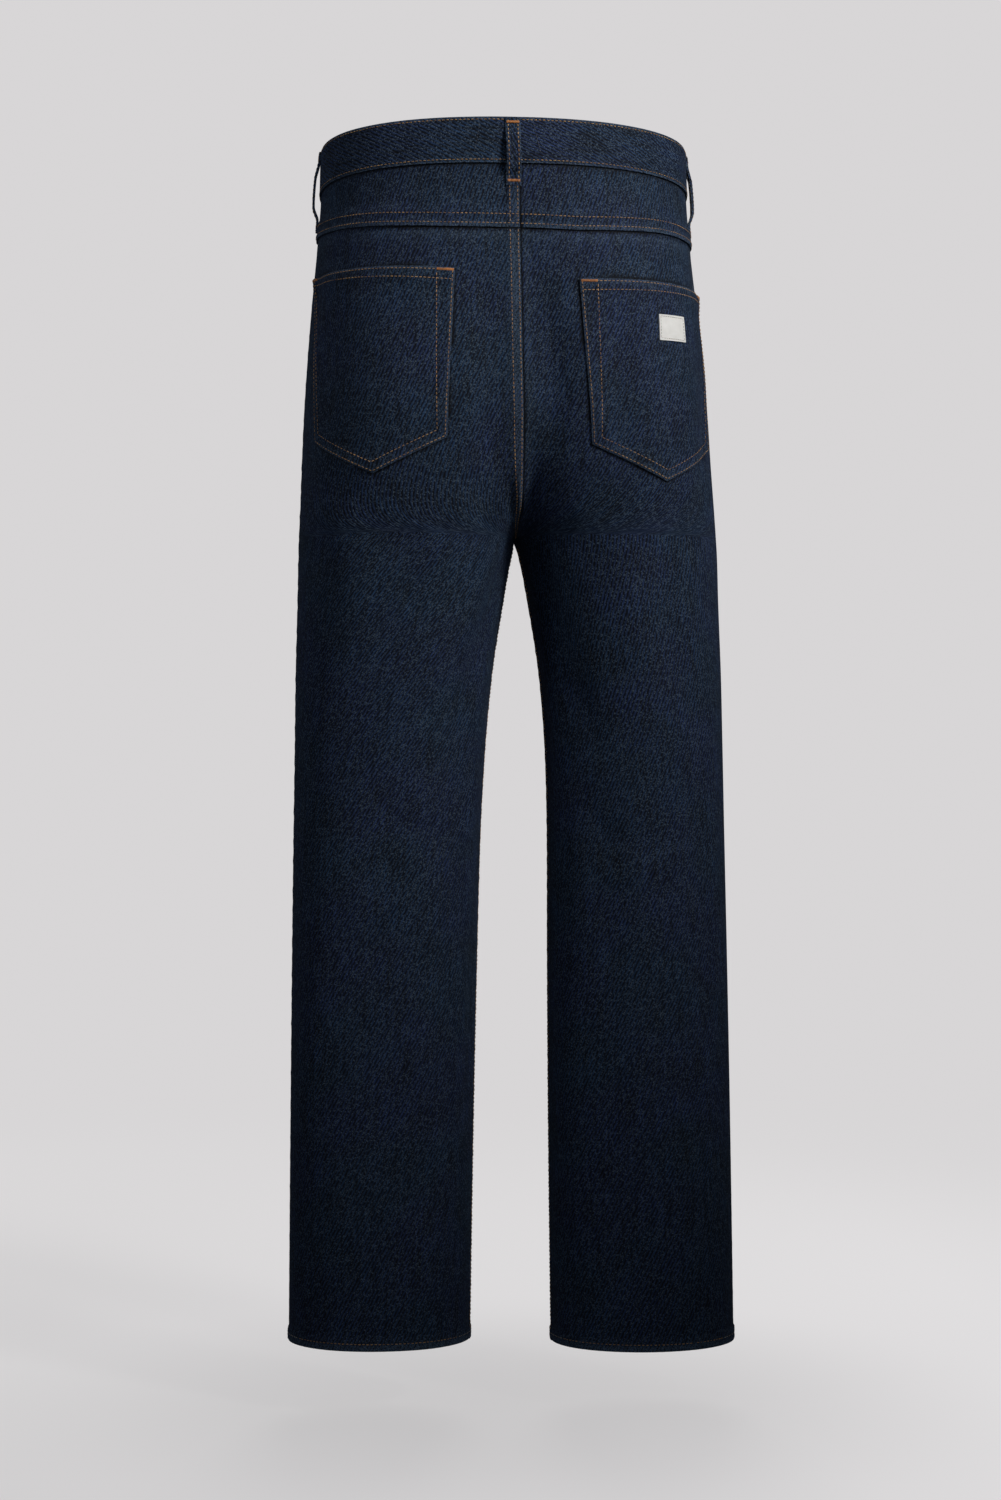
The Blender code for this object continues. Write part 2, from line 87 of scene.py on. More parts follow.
# %% Levels of the leg
COLUMNS = ("level", "outer", "inner", "back_x", "back_y", "front_x",
           "front_y", "side_y", "full", "lean", "middle")
SECTIONS = (
    (14.0, 165.5, -165.5, 0.0, 117.5, 0.0, -112.5, 0.0, 2.12, 0.0, 1.0),
    (0.0, 166.0, -166.0, 2.0, 118.0, 1.0, -113.0, 0.0, 2.12, 0.0, 1.0),
    (-40.0, 167.2, -166.0, 12.0, 119.5, 5.0, -114.5, 0.0, 2.14, 0.0, 0.5),
    (-90.0, 171.2, -167.0, 36.0, 122.5, 10.0, -116.5, 0.0, 2.16, 0.0, 0.0),
    (-140.0, 176.5, -162.0, 56.0, 126.5, 18.0, -118.0, 0.0, 2.18, -0.5, -0.5),
    (-190.0, 181.0, -146.0, 71.0, 129.0, 30.0, -119.0, 1.0, 2.20, -1.0, -1.0),
    (-240.0, 184.7, -116.0, 80.0, 127.5, 44.0, -119.0, 2.0, 2.20, -1.5, -2.0),
    (-285.0, 187.2, -68.0, 86.0, 121.0, 58.0, -117.5, 3.0, 2.20, -2.0, -3.0),
    (-325.0, 189.6, -24.0, 90.5, 111.0, 72.0, -114.5, 3.0, 2.18, -3.0, -4.5),
    (-355.0, 191.5, 0.0, 95.0, 103.5, 82.0, -111.0, 2.0, 2.16, -3.6, -6.0),
    (-372.0, 192.3, 5.0, 97.5, 100.5, 88.0, -109.0, 1.0, 2.15, -4.0, -6.5),
    (-409.0, 193.3, 12.0, 102.0, 95.0, 97.0, -104.0, 0.0, 2.14, -4.3, -6.5),
    (-483.0, 195.8, 23.3, 109.0, 85.0, 108.0, -94.0, -1.0, 2.12, -5.0, -6.0),
    (-556.0, 197.2, 29.2, 113.0, 77.0, 112.5, -84.0, -1.0, 2.10, -5.5, -5.0),
    (-630.0, 198.6, 31.9, 115.3, 71.5, 115.3, -76.0, -1.0, 2.10, -5.8, -3.5),
    (-740.0, 200.6, 33.4, 117.0, 67.5, 117.0, -70.0, -1.0, 2.10, -6.4, -1.5),
    (-900.0, 203.0, 35.6, 119.4, 65.0, 119.4, -66.5, -1.0, 2.08, -7.2, 0.5),
    (-1095.0, 205.3, 38.3, 121.8, 64.0, 121.8, -65.0, -0.5, 2.06, -8.0, 1.8),
)
CROTCH = -355.0
WAIST_DEEP = 118.0
WAIST_RISE, WAIST_DIP = 12.5, -3.5
RISE_ENDS, RISE_FULL = -210.0, -45.0
TABLE = np.array(SECTIONS)[::-1]


def same_shape(*values):
    """Several measures as arrays of numbers that all have one shape."""
    return np.broadcast_arrays(*(np.asarray(value, float) for value in values))


def column(level, name):
    """One column of the table at any level, joined without overshoot."""
    xs, ys = TABLE[:, 0], TABLE[:, COLUMNS.index(name)]
    level = np.clip(level, xs[0], xs[-1])
    step = np.diff(xs)
    rise = np.diff(ys) / step
    slope = np.zeros(len(xs))
    slope[0], slope[-1] = rise[0], rise[-1]
    for i in range(1, len(xs) - 1):
        if rise[i - 1] * rise[i] > 0:
            before, after = step[i - 1], step[i]
            slope[i] = 3 * (before + after) / ((2 * after + before) / rise[i - 1]
                                               + (after + 2 * before) / rise[i])
    i = np.clip(np.searchsorted(xs, level, side="right") - 1, 0, len(xs) - 2)
    t = (level - xs[i]) / step[i]
    return ((2 * t**3 - 3 * t**2 + 1) * ys[i] + (t**3 - 2 * t**2 + t) * step[i] * slope[i]
            + (3 * t**2 - 2 * t**3) * ys[i + 1] + (t**3 - t**2) * step[i] * slope[i + 1])


def ease(low, high, value):
    """0 below low, 1 above high and a soft climb between."""
    t = np.clip((value - low) / (high - low), 0.0, 1.0)
    return t * t * (3 - 2 * t)


print("levels:", len(SECTIONS), "waist half width", float(column(0.0, "outer")))

# %% [markdown]
# ## A point of the tube
#
# A level and an angle name a point: 0 degrees is the side, 90 the back, 180 the
# inseam.  The section is a fuller ellipse whose rear and front points may lie off
# centre, as a seat cheek does.  The normal comes from two small steps on the surface.


# %% Tube functions
def section_point(level, degrees):
    level, degrees = same_shape(level, degrees)
    c, s = np.cos(np.radians(degrees)), np.sin(np.radians(degrees))
    full = column(level, "full")
    reach = (np.abs(c)**full + np.abs(s)**full)**(-1 / full)
    mid = np.where(s >= 0, column(level, "back_x"), column(level, "front_x"))
    side_y = column(level, "side_y")
    wide = np.where(c >= 0, column(level, "outer") - mid,
                    mid - column(level, "inner"))
    deep = np.where(s >= 0, column(level, "back_y") - side_y,
                    side_y - column(level, "front_y"))
    return mid + wide * c * reach, side_y + deep * s * reach


def tube(sign, level, degrees):
    """Points of the smooth form; sign is 1 on the left leg and -1 on the right."""
    x, y = section_point(level, degrees)
    level = np.broadcast_to(np.asarray(level, float), x.shape)
    tilt = y / WAIST_DEEP
    z = level + ((WAIST_RISE * tilt + WAIST_DIP * tilt**2)
                 * ease(RISE_ENDS, RISE_FULL, level))
    inward = 1 - np.clip(x / column(level, "outer"), 0, 1)**2
    x = sign * x + column(level, "lean") + column(level, "middle") * inward
    return np.stack([x, y, z], -1)


def outward(sign, level, degrees):
    across = tube(sign, level, degrees + 0.2) - tube(sign, level, degrees - 0.2)
    up = tube(sign, level + 0.5, degrees) - tube(sign, level - 0.5, degrees)
    normal = np.cross(across, up) * np.asarray(sign)[..., None]
    return normal / np.linalg.norm(normal, axis=-1, keepdims=True)


def keep_sideways(normal, share):
    """Normals with only a share of their sideways part, as on the middle plane."""
    normal = normal * np.stack([share, np.ones_like(share), np.ones_like(share)], -1)
    return normal / np.linalg.norm(normal, axis=-1, keepdims=True)


def middle_angle(level, back, x=0.15):
    """Where the tube meets the middle plane, or stands x to the side of it."""
    level = np.asarray(level, float)
    near = np.full(level.shape, 60.0 if back else 300.0)
    far = np.full(level.shape, 180.0)
    for _ in range(34):
        half = (near + far) / 2
        out = section_point(level, half)[0] > x
        near, far = np.where(out, half, near), np.where(out, far, half)
    return near


print("centre back of the waist:", tube(1, np.array(0.0), 90.0).round(1))

# %% [markdown]
# ## Measuring with a tape
#
# Seams, pockets and stitches are placed as on a cutting table: so many millimetres
# from the centre line.  One table of angles for the back and one for the front turn
# a level and a distance into an angle, so nothing stretches where the body is full.
# Distance is counted from the rise seam, and from the inseam line below the crotch.

# %% Tape tables
OUTSEAM, INSEAM = -9.0, 180.0
HEM = {1: -1085.0, -1: -1090.0}
TURN = {1: -5.0, -1: 4.0}
LEVEL_STEP, ROUND_STEP = 2.0, 1.25
TAPE_LEVELS = np.linspace(-1097.0, 17.0, 558)
TAPE_STEPS = np.linspace(-24.0, 336.0, 289)


def tape_table(back):
    start = np.where(TAPE_LEVELS > CROTCH, middle_angle(TAPE_LEVELS, back), INSEAM)
    stop, spare = (-80.0, 22.0) if back else (440.0, -22.0)
    share = np.linspace(0, 1, 440)
    angles = (start + spare)[:, None] + (stop - start - spare)[:, None] * share
    x, y = section_point(TAPE_LEVELS[:, None], angles)
    run = np.hypot(np.diff(x, axis=1), np.diff(y, axis=1))
    run = np.concatenate([np.zeros((len(run), 1)), np.cumsum(run, axis=1)], axis=1)
    rows = []
    for at, r, a in zip(start, run, angles):
        order = 1 if a[-1] > a[0] else -1
        zero = np.interp(order * at, order * a, r)
        rows.append(np.interp(TAPE_STEPS, r - zero, a))
    return np.array(rows)


TAPE = {True: tape_table(True), False: tape_table(False)}


def angle_at(level, distance, back=True):
    """Angle of a point at a distance round the tube from the rise or inseam."""
    level, distance = same_shape(level, distance)
    row = np.clip((level - TAPE_LEVELS[0]) / LEVEL_STEP, 0, len(TAPE_LEVELS) - 1.001)
    col = np.clip((distance - TAPE_STEPS[0]) / ROUND_STEP, 0, len(TAPE_STEPS) - 1.001)
    r, c = row.astype(int), col.astype(int)
    fr, fc = row - r, col - c
    t = TAPE[back]
    return ((t[r, c] * (1 - fc) + t[r, c + 1] * fc) * (1 - fr)
            + (t[r + 1, c] * (1 - fc) + t[r + 1, c + 1] * fc) * fr)


def tape_to(target, back):
    """Distance at every tape level at which the tube reaches a given angle."""
    rows = []
    for goal, angles in zip(np.broadcast_to(target, TAPE_LEVELS.shape), TAPE[back]):
        order = 1 if angles[-1] > angles[0] else -1
        rows.append(np.interp(order * goal, order * angles, TAPE_STEPS))
    return np.array(rows)


SEAMS = {}
for sign in (1, -1):
    wander = TURN[sign] * ease(CROTCH, HEM[sign], TAPE_LEVELS)
    for back in (True, False):
        inner = np.where(TAPE_LEVELS > CROTCH, 0.0, tape_to(INSEAM + wander, back))
        outer = tape_to(OUTSEAM + wander + (0.0 if back else 360.0), back)
        SEAMS[sign, back] = (inner, outer)


def inner_seam(sign, level, back=True):
    return np.interp(level, TAPE_LEVELS, SEAMS[sign, back][0])


def outer_seam(sign, level, back=True):
    return np.interp(level, TAPE_LEVELS, SEAMS[sign, back][1])


print("back at the hips", outer_seam(1, -200.0).round(1),
      "front", outer_seam(1, -200.0, False).round(1), "mm wide")

# %% [markdown]
# ## Folds placed one by one
#
# Empty jeans keep the memory of a body: a hollow beside the seat seam, slanting
# hollows across the backs of the thighs, long soft ridges down the legs and short
# ones behind the knees.  Each row of the table is one fold: where it starts and
# ends as distance and level, how far it bows aside, its half width and its height,
# a hollow being negative.  They differ in every figure, because real ones do.
# Distance counts from another seam below the crotch than above it, so it is evened
# out over 12 cm of height first: a fold passes the crotch without a kink.

# %% Folds
FOLD_STRENGTH = 1.45
FOLDS = {
    (1, True): (
        (26, -138, 30, -318, 6, 17, -2.2), (14, -262, 62, -352, -5, 13, -1.6),
        (78, -318, 112, -500, 10, 22, 1.9), (40, -366, 74, -560, -7, 17, -2.1),
        (150, -330, 176, -520, 12, 20, -1.6), (196, -300, 190, -452, -6, 18, 1.3),
        (36, -560, 66, -640, 8, 13, 1.2), (60, -640, 134, -612, -7, 11, -1.1),
        (92, -690, 168, -664, 9, 13, 1.0), (70, -612, 92, -900, -10, 26, 1.8),
        (142, -560, 138, -800, 9, 21, -1.3), (176, -640, 190, -905, -6, 17, 1.2),
        (30, -700, 38, -930, 5, 14, -1.1), (112, -850, 104, -1060, 7, 22, -1.0),
        (60, -940, 72, -1085, -4, 15, 0.9), (160, -890, 172, -1080, 5, 18, 0.9),
        (120, -168, 128, -268, 4, 22, 0.9), (176, -150, 168, -250, -5, 16, -0.8),
        (206, -96, 214, -190, 5, 13, -0.9), (90, -44, 84, -92, 3, 15, -0.6),
    ),
    (-1, True): (
        (21, -146, 24, -330, -6, 14, -3.4), (10, -270, 50, -362, 6, 12, -1.9),
        (92, -150, 100, -300, 5, 13, -1.5), (56, -150, 58, -292, -5, 15, 1.2),
        (48, -320, 84, -548, 9, 17, -3.2), (128, -300, 132, -560, -9, 27, 2.4),
        (176, -330, 184, -540, 7, 17, -1.7), (30, -420, 46, -600, 5, 13, 1.2),
        (150, -150, 158, -262, -4, 18, 1.1), (196, -190, 200, -330, 5, 13, -1.2),
        (66, -604, 140, -636, 8, 11, -1.3), (96, -668, 172, -640, -7, 12, 1.1),
        (70, -560, 88, -800, -8, 19, -1.5), (120, -640, 114, -900, 10, 24, 1.7),
        (168, -590, 176, -820, -7, 17, -1.2), (44, -760, 50, -1000, 6, 16, 1.0),
        (92, -900, 84, -1086, -6, 20, -1.0), (150, -860, 160, -1070, 7, 19, 1.1),
        (206, -100, 212, -196, -5, 13, -0.9), (60, -46, 66, -92, 4, 17, -0.5),
    ),
    (1, False): (
        (8, -190, 70, -300, 8, 14, -1.9), (14, -250, 92, -372, -7, 15, 1.3),
        (16, -318, 104, -430, 9, 15, -1.8), (60, -150, 132, -190, -6, 16, -0.8),
        (110, -300, 120, -520, 9, 25, 1.7), (52, -420, 66, -620, -7, 20, -1.5),
        (40, -600, 120, -628, 8, 12, -1.2), (60, -664, 150, -640, -8, 13, 1.2),
        (96, -640, 104, -900, 10, 24, 1.6), (150, -500, 156, -760, -8, 17, -1.2),
        (46, -760, 52, -1000, 6, 17, -1.1), (120, -880, 112, -1080, -7, 20, 1.0),
    ),
    (-1, False): (
        (8, -200, 82, -318, -8, 15, -1.8), (12, -268, 96, -350, 7, 13, 1.2),
        (18, -326, 110, -452, -9, 16, -1.9), (54, -146, 126, -200, 6, 15, -0.8),
        (122, -290, 118, -500, -8, 24, 1.8), (50, -440, 60, -640, 8, 18, -1.4),
        (36, -616, 124, -650, -8, 12, -1.1), (72, -688, 160, -662, 8, 13, 1.1),
        (88, -650, 92, -930, -9, 23, 1.7), (146, -520, 158, -740, 8, 18, -1.3),
        (52, -800, 44, -1030, -6, 16, -1.0), (118, -900, 122, -1084, 6, 19, 1.0),
    ),
}

EVEN_OVER = 60
BELL = np.exp(-(np.arange(-EVEN_OVER, EVEN_OVER + 1) / 26.0)**2)
BELL /= BELL.sum()
EVEN = {key: np.convolve(np.pad(outer, EVEN_OVER, mode="edge"), BELL, "valid") - outer
        for key, (inner, outer) in SEAMS.items()}
SEAM_FLAT = 20.0


def folds(sign, level, distance, back):
    """Height of the folds over the form in millimetres, flat at every leg seam."""
    height = np.zeros(np.broadcast(level, distance).shape)
    shift = np.interp(level, TAPE_LEVELS, EVEN[sign, back])
    for d0, l0, d1, l1, bow, width, high in FOLDS[sign, back]:
        run_d, run_l = d1 - d0, l1 - l0
        length = math.hypot(run_d, run_l)
        t = ((distance + shift - d0) * run_d + (level - l0) * run_l) / length**2
        aside = ((distance + shift - d0) * run_l - (level - l0) * run_d) / length
        aside = aside - bow * 4 * np.clip(t, 0, 1) * (1 - np.clip(t, 0, 1))
        along = ease(-0.18, 0.34, t) * ease(1.2, 0.62, t)
        height += FOLD_STRENGTH * high * np.exp(-(aside / width)**2) * along
    flat = ease(0.0, SEAM_FLAT, outer_seam(sign, level, back) - distance)
    low = ease(-340.0, -372.0, level)
    from_in = distance - inner_seam(sign, level, back)
    return height * flat * (1 - low + low * ease(0.0, SEAM_FLAT, from_in))


print("folds:", {str(key): len(rows) for key, rows in FOLDS.items()})

# %% [markdown]
# ## From the cutting table to the garment
#
# One function gives a point of the garment for a level, a distance and a lift over
# the form.  Past the rise seam it goes on over the other half, so a lap can cross
# the middle.  The two halves meet there in a crease, which cloth would bridge, so
# the crease is filled softly, as deep as the seat is hollow at that level.

# %% A point of the garment
BRIDGE = 15.0
TURN_OVER = 12.0


def crease_table(back):
    near = middle_angle(TAPE_LEVELS, back)
    x0, y0 = section_point(TAPE_LEVELS, near)
    x1, y1 = section_point(TAPE_LEVELS, near + (-1.6 if back else 1.6))
    slope = np.abs(y1 - y0) / np.maximum(np.abs(x1 - x0), 0.2)
    return np.clip(slope, 0, 1.1) * ease(-352.0, -306.0, TAPE_LEVELS)


CREASE = {True: crease_table(True), False: crease_table(False)}


def garment(sign, level, distance, back=True, lift=0.0):
    """Points in metres and unit normals, lift in millimetres over the form."""
    level, distance, lift = same_shape(level, distance, lift)
    over = (distance < 0) & (level > CROTCH)
    half = np.where(over, -sign, sign)
    reach = np.where(over, -distance, distance)
    angle = angle_at(level, reach, back)
    place, normal = tube(half, level, angle), outward(half, level, angle)
    above = ease(CROTCH, CROTCH + 14.0, level)
    normal = keep_sideways(normal, 1 - above + above * ease(0.0, TURN_OVER, reach))
    fill = (np.interp(level, TAPE_LEVELS, CREASE[back])
            * np.clip(BRIDGE - reach, 0, None)**2 / (2 * BRIDGE))
    bumps = np.where(half > 0, folds(1, level, reach, back),
                     folds(-1, level, reach, back))
    return (place + normal * (lift + fill + bumps)[..., None]) * 0.001, normal


print("crease at the seat", CREASE[True][300:520:40].round(2))

# %% [markdown]
# ## Colours and the node helper
#
# Colours are written as the sRGB hex values a dyer would match by eye, and turned
# to linear light by one function.  One helper adds any node with its settings and
# its links.  A few short words built on it, for a range, a sum, a mix, a noise and
# so on, let each material below read as a recipe.

# %% Colour and node helpers


def linear(hex_colour):
    """sRGB hex such as 1C2434 to linear RGBA."""
    parts = [int(hex_colour[i:i + 2], 16) / 255 for i in (0, 2, 4)]
    parts = [c / 12.92 if c <= 0.04045 else ((c + 0.055) / 1.055)**2.4 for c in parts]
    return (*parts, 1.0)


def node(tree, kind, settings=None, inputs=None):
    """Add a node, set its properties, then set or link its inputs by name."""
    made = tree.nodes.new(kind)
    for key, value in (settings or {}).items():
        setattr(made, key, value)
    for key, value in (inputs or {}).items():
        if isinstance(value, bpy.types.NodeSocket):
            tree.links.new(value, made.inputs[key])
        else:
            made.inputs[key].default_value = value
    return made


def spread(tree, value, low, high, to_low=0.0, to_high=1.0, kind="SMOOTHSTEP"):
    """Bring a value from one range to another, softly or in a straight line."""
    return node(tree, "ShaderNodeMapRange", {"interpolation_type": kind},
                {"Value": value, "From Min": low, "From Max": high,
                 "To Min": to_low, "To Max": to_high}).outputs[0]


def maths(tree, operation, *values, clamp=False):
    """One step of arithmetic on two or three values."""
    return node(tree, "ShaderNodeMath", {"operation": operation, "use_clamp": clamp},
                dict(enumerate(values))).outputs[0]


def mixed(tree, share, first, second):
    """The first colour with a share of the second."""
    return node(tree, "ShaderNodeMix", {"data_type": "RGBA"},
                {"Factor": share, "A": first, "B": second}).outputs["Result"]


def brighter(tree, colour, times):
    """A colour made lighter or darker by a factor."""
    return node(tree, "ShaderNodeVectorMath", {"operation": "SCALE"},
                {"Vector": colour, "Scale": times}).outputs[0]


def noise(tree, place, scale, detail, roughness=0.5):
    return node(tree, "ShaderNodeTexNoise", None,
                {"Vector": place, "Scale": scale, "Detail": detail,
                 "Roughness": roughness}).outputs["Fac"]


def moved(tree, place, **how):
    """Coordinates turned or stretched."""
    return node(tree, "ShaderNodeMapping", {"vector_type": "POINT"},
                {"Vector": place, **how}).outputs[0]


def bands(tree, place, way, pitch, **how):
    """Parallel lines, a pitch in millimetres apart."""
    return node(tree, "ShaderNodeTexWave", {"wave_type": "BANDS", "bands_direction": way},
                {"Vector": place, "Scale": WAVE_UNIT / pitch, **how}).outputs["Fac"]


def bump(tree, height, strength, distance):
    return node(tree, "ShaderNodeBump", None,
                {"Height": height, "Strength": strength,
                 "Distance": distance}).outputs[0]


def cut_in_mm(tree):
    """The piece's own cut, laid out in millimetres of cloth."""
    cut = node(tree, "ShaderNodeUVMap", {"uv_map": "cut"})
    return moved(tree, cut.outputs["UV"], Scale=(1000, 1000, 1000))


def object_place(tree):
    return node(tree, "ShaderNodeTexCoord").outputs["Object"]


def new_material(name):
    material = bpy.data.materials.new(name)
    material.use_nodes = True
    tree = material.node_tree
    tree.nodes.clear()
    return material, tree


def finished(tree, surface):
    """Join a surface to the material's output."""
    node(tree, "ShaderNodeOutputMaterial", None, {"Surface": surface.outputs[0]})


# A wave texture has one band in 0.31416 units at scale 1.
WAVE_UNIT = 0.31416
print("indigo", [round(c, 4) for c in linear("1C2434")])

# %% [markdown]
# ## Denim, face side
#
# Rinsed, almost black indigo denim: a 3/1 right-hand twill.  Three warp yarns in
# four lie on the face, dyed blue round a paler core, so the eye gets steep diagonal
# lines, pale specks where the undyed weft peeps through, and long slubs down the
# warp.  Every float of the warp took the dye a little differently, and over a hand's
# breadth the blue drifts between a redder and a greener one.  The pattern follows
# the cut of each piece, so it reads the piece's own UV map, which is laid out in
# metres of cloth.  Colour is lost first where cloth is folded hard over a seam: the
# attribute called seam is positive on such edges.  Where it is negative, in a strip
# beside and under a folded edge, the colour is darkened as painted shade.

# %% Denim material
# Real lines are 0.8 mm apart; at 3 mm they can be told apart from three steps away.
TWILL_PITCH = 3.0
TWILL_LEAN = 27.0
# Real yarns are 0.4 mm thick, and their floats 0.4 mm by 1.2 mm; both are coarser here.
YARN = 0.95
FLOATS_PER_MM = (1.05, 0.66, 1)
SLUBS_PER_MM = (0.34, 0.022, 1)
CLOUDS_PER_MM = 0.035
DRIFT_PER_MM = 0.011


def denim_cloth(name, deep, body, green, weft, speck, reverse):
    material, tree = new_material(name)
    in_mm = cut_in_mm(tree)
    lean = math.radians(-TWILL_LEAN if reverse else TWILL_LEAN)
    across = moved(tree, in_mm, Rotation=(0, 0, lean))
    lines = bands(tree, across, "X", TWILL_PITCH,
                  **{"Distortion": 1.2, "Detail": 2.0, "Detail Scale": 2.2})
    yarn = noise(tree, across, 0.8 / YARN, 2.0, 0.8)
    slubs = noise(tree, moved(tree, in_mm, Scale=SLUBS_PER_MM), 1.0, 4.0, 0.66)
    clouds = noise(tree, in_mm, CLOUDS_PER_MM, 3.0)
    drift = noise(tree, in_mm, DRIFT_PER_MM, 2.0)

    # The dyed warp: its lines, its two blues, its slubs and its clouds.
    ground = spread(tree, lines, 0.15, 0.9)
    vat = mixed(tree, spread(tree, drift, 0.36, 0.64), linear(body), linear(green))
    weave = mixed(tree, ground, linear(deep), vat)
    streak = spread(tree, slubs, 0.34, 0.68, 0.42, 1.66, "LINEAR")
    cloudy = spread(tree, clouds, 0.3, 0.7, 0.76, 1.27, "LINEAR")
    dyed = brighter(tree, weave, maths(tree, "MULTIPLY", streak, cloudy))

    # Each float has its own depth of dye, and by some of them the weft peeps out.
    floats = node(tree, "ShaderNodeTexVoronoi",
                  {"voronoi_dimensions": "2D", "feature": "F1"},
                  {"Vector": moved(tree, across, Scale=FLOATS_PER_MM), "Scale": 1.0,
                   "Randomness": 0.7})
    lot = node(tree, "ShaderNodeSeparateColor", None, {"Color": floats.outputs["Color"]})
    uneven = spread(tree, lot.outputs["Green"], 0.0, 1.0, 0.76, 1.22, "LINEAR")
    chosen = spread(tree, lot.outputs["Red"], 0.42, 1.0)
    round_end = spread(tree, floats.outputs["Distance"], 0.25, 0.62, 1.0, 0.0)
    flecks = maths(tree, "MULTIPLY", chosen, round_end)
    between = maths(tree, "MULTIPLY_ADD", ground, -0.6, 1.0)
    peeping = maths(tree, "MULTIPLY", flecks, between)
    spotted = mixed(tree, maths(tree, "MULTIPLY", peeping, speck),
                    brighter(tree, dyed, uneven), linear(weft))

    # Wear fades the ridges; a negative seam value darkens the colour as painted shade.
    seam = node(tree, "ShaderNodeAttribute", {"attribute_name": "seam"}).outputs["Fac"]
    rubbed = spread(tree, yarn, 0.42, 0.62, 0.0, 0.34)
    on_ridge = maths(tree, "MAXIMUM", seam, 0.0)
    faded = mixed(tree, maths(tree, "MULTIPLY", rubbed, on_ridge), spotted, linear(weft))
    # Painted shade: where seam is negative the colour is darkened, down to an eighth.
    painted_shade_darkening = spread(tree, seam, -1.0, 0.0, 0.12, 1.0, "LINEAR")

    relief = maths(tree, "MULTIPLY_ADD", yarn, 0.9, lines)
    grain = maths(tree, "MULTIPLY_ADD", slubs, 0.8, relief)
    finished(tree, node(tree, "ShaderNodeBsdfPrincipled", None, {
        "Base Color": brighter(tree, faded, painted_shade_darkening),
        "Roughness": spread(tree, yarn, 0.0, 1.0, 0.72, 0.92, "LINEAR"),
        "Normal": bump(tree, grain, 0.55, 0.00045), "Specular IOR Level": 0.22,
        "Sheen Weight": 0.05, "Sheen Roughness": 0.45, "Sheen Tint": linear("7F8CA3")}))
    return material


denim = denim_cloth("denim_rinsed_indigo_twill", "050A15", "1B294A", "182D46", "748AA1",
                    0.44, False)
denim_back = denim_cloth("denim_reverse", "39414F", "79818C", "76838A", "B4B8BC", 0.6,
                         True)
print("denim:", len(denim.node_tree.nodes), "nodes; twill", TWILL_PITCH, "mm")

# %% [markdown]
# ## Thread, tape and brass
#
# Topstitching is thick core-spun polyester in tobacco gold, two plies twisted, with painted
# highlights and shade along the twist.  The patch label is bleached woven tape.
# The button is brass with an antique finish, mottled darker and lighter.

# %% Small materials
TAPE_RIB = 0.7


def sewing_thread(name, dark, light, patch):
    material, tree = new_material(name)
    place = object_place(tree)
    ply = noise(tree, place, 900.0, 1.0)
    patches = maths(tree, "MULTIPLY_ADD", noise(tree, place, patch, 2.0), 1.3, -0.15)
    # Painted highlight and shade: the fine ply noise lightens and darkens the colour along the
    # twist; the patches are uneven tone.
    lit = maths(tree, "MULTIPLY_ADD", ply, 0.5, patches, clamp=True)
    colour = mixed(tree, spread(tree, lit, 0.35, 1.1), linear(dark), linear(light))
    finished(tree, node(tree, "ShaderNodeBsdfPrincipled", None, {
        "Base Color": colour, "Roughness": 0.5, "Specular IOR Level": 0.5,
        "Sheen Weight": 0.25, "Sheen Roughness": 0.4,
        "Normal": bump(tree, ply, 0.5, 0.0002)}))
    return material


def woven_tape(name, base, shade):
    material, tree = new_material(name)
    in_mm = cut_in_mm(tree)
    ribs = bands(tree, in_mm, "Y", TAPE_RIB, Distortion=0.6, Detail=1.0)
    soil = noise(tree, in_mm, 0.16, 3.0)
    both = maths(tree, "MULTIPLY_ADD", ribs, 0.25, soil, clamp=True)
    finished(tree, node(tree, "ShaderNodeBsdfPrincipled", None, {
        "Base Color": mixed(tree, both, linear(shade), linear(base)), "Roughness": 0.7,
        "Sheen Weight": 0.2, "Normal": bump(tree, ribs, 0.4, 0.0002)}))
    return material


def antique_brass(name):
    material, tree = new_material(name)
    hollow = noise(tree, object_place(tree), 700.0, 4.0)
    colour = mixed(tree, spread(tree, hollow, 0.38, 0.62), linear("6B4A2C"),
                   linear("B98A55"))
    finished(tree, node(tree, "ShaderNodeBsdfPrincipled", None, {
        "Base Color": colour, "Metallic": 1.0,
        "Roughness": spread(tree, hollow, 0.0, 1.0, 0.28, 0.5, "LINEAR"),
        "Normal": bump(tree, hollow, 0.3, 0.0001)}))
    return material


gold_thread = sewing_thread("topstitch_thread_tobacco", "6E4826", "C99B5C", 60.0)
tack_thread = sewing_thread("bar_tack_thread", "8E5426", "D0853F", 90.0)
pale_thread = sewing_thread("hem_thread_faded", "76685A", "B9AFA2", 60.0)
navy_thread = sewing_thread("tonal_thread_navy", "151A26", "39414F", 60.0)
white_tape = woven_tape("label_tape_bleached", "F7F6F3", "E2E0DC")
brass = antique_brass("button_antique_brass")
print("materials:", len(bpy.data.materials))

# %% [markdown]
# ## How a sheet becomes a piece of cloth
#
# A grid of points on the outside, the same grid a cloth's thickness further in, and
# a narrow rim between them make one closed shell.  Its UV map is the cut: metres
# across and metres up the cloth.  The outside takes the face of the denim and the
# inside its reverse.  All cloth pieces below are made by this one function.

# %% Shell of cloth
CLOTH = 1.15
SMOOTH_UP_TO = math.radians(50)
# A cut measures a little less than the puckered cloth that is sewn from it.
PUCKERED = 1.04


def put_in_scene(name, mesh):
    """Add a mesh as an object and leave it the only one selected."""
    made = bpy.data.objects.new(name, mesh)
    bpy.context.collection.objects.link(made)
    bpy.ops.object.select_all(action="DESELECT")
    made.select_set(True)
    bpy.context.view_layer.objects.active = made
    return made


def behind(outer, normal, thick):
    """The other side of the cloth, its thickness in millimetres further in."""
    thick = np.broadcast_to(thick, outer.shape[:2])
    return outer - normal * (thick * 0.001)[..., None]


def cut_map(across, up, corner):
    """The flat cut in metres, moved to its own corner of the bolt."""
    return np.stack([across, up], -1) * 0.001 + np.array(corner)


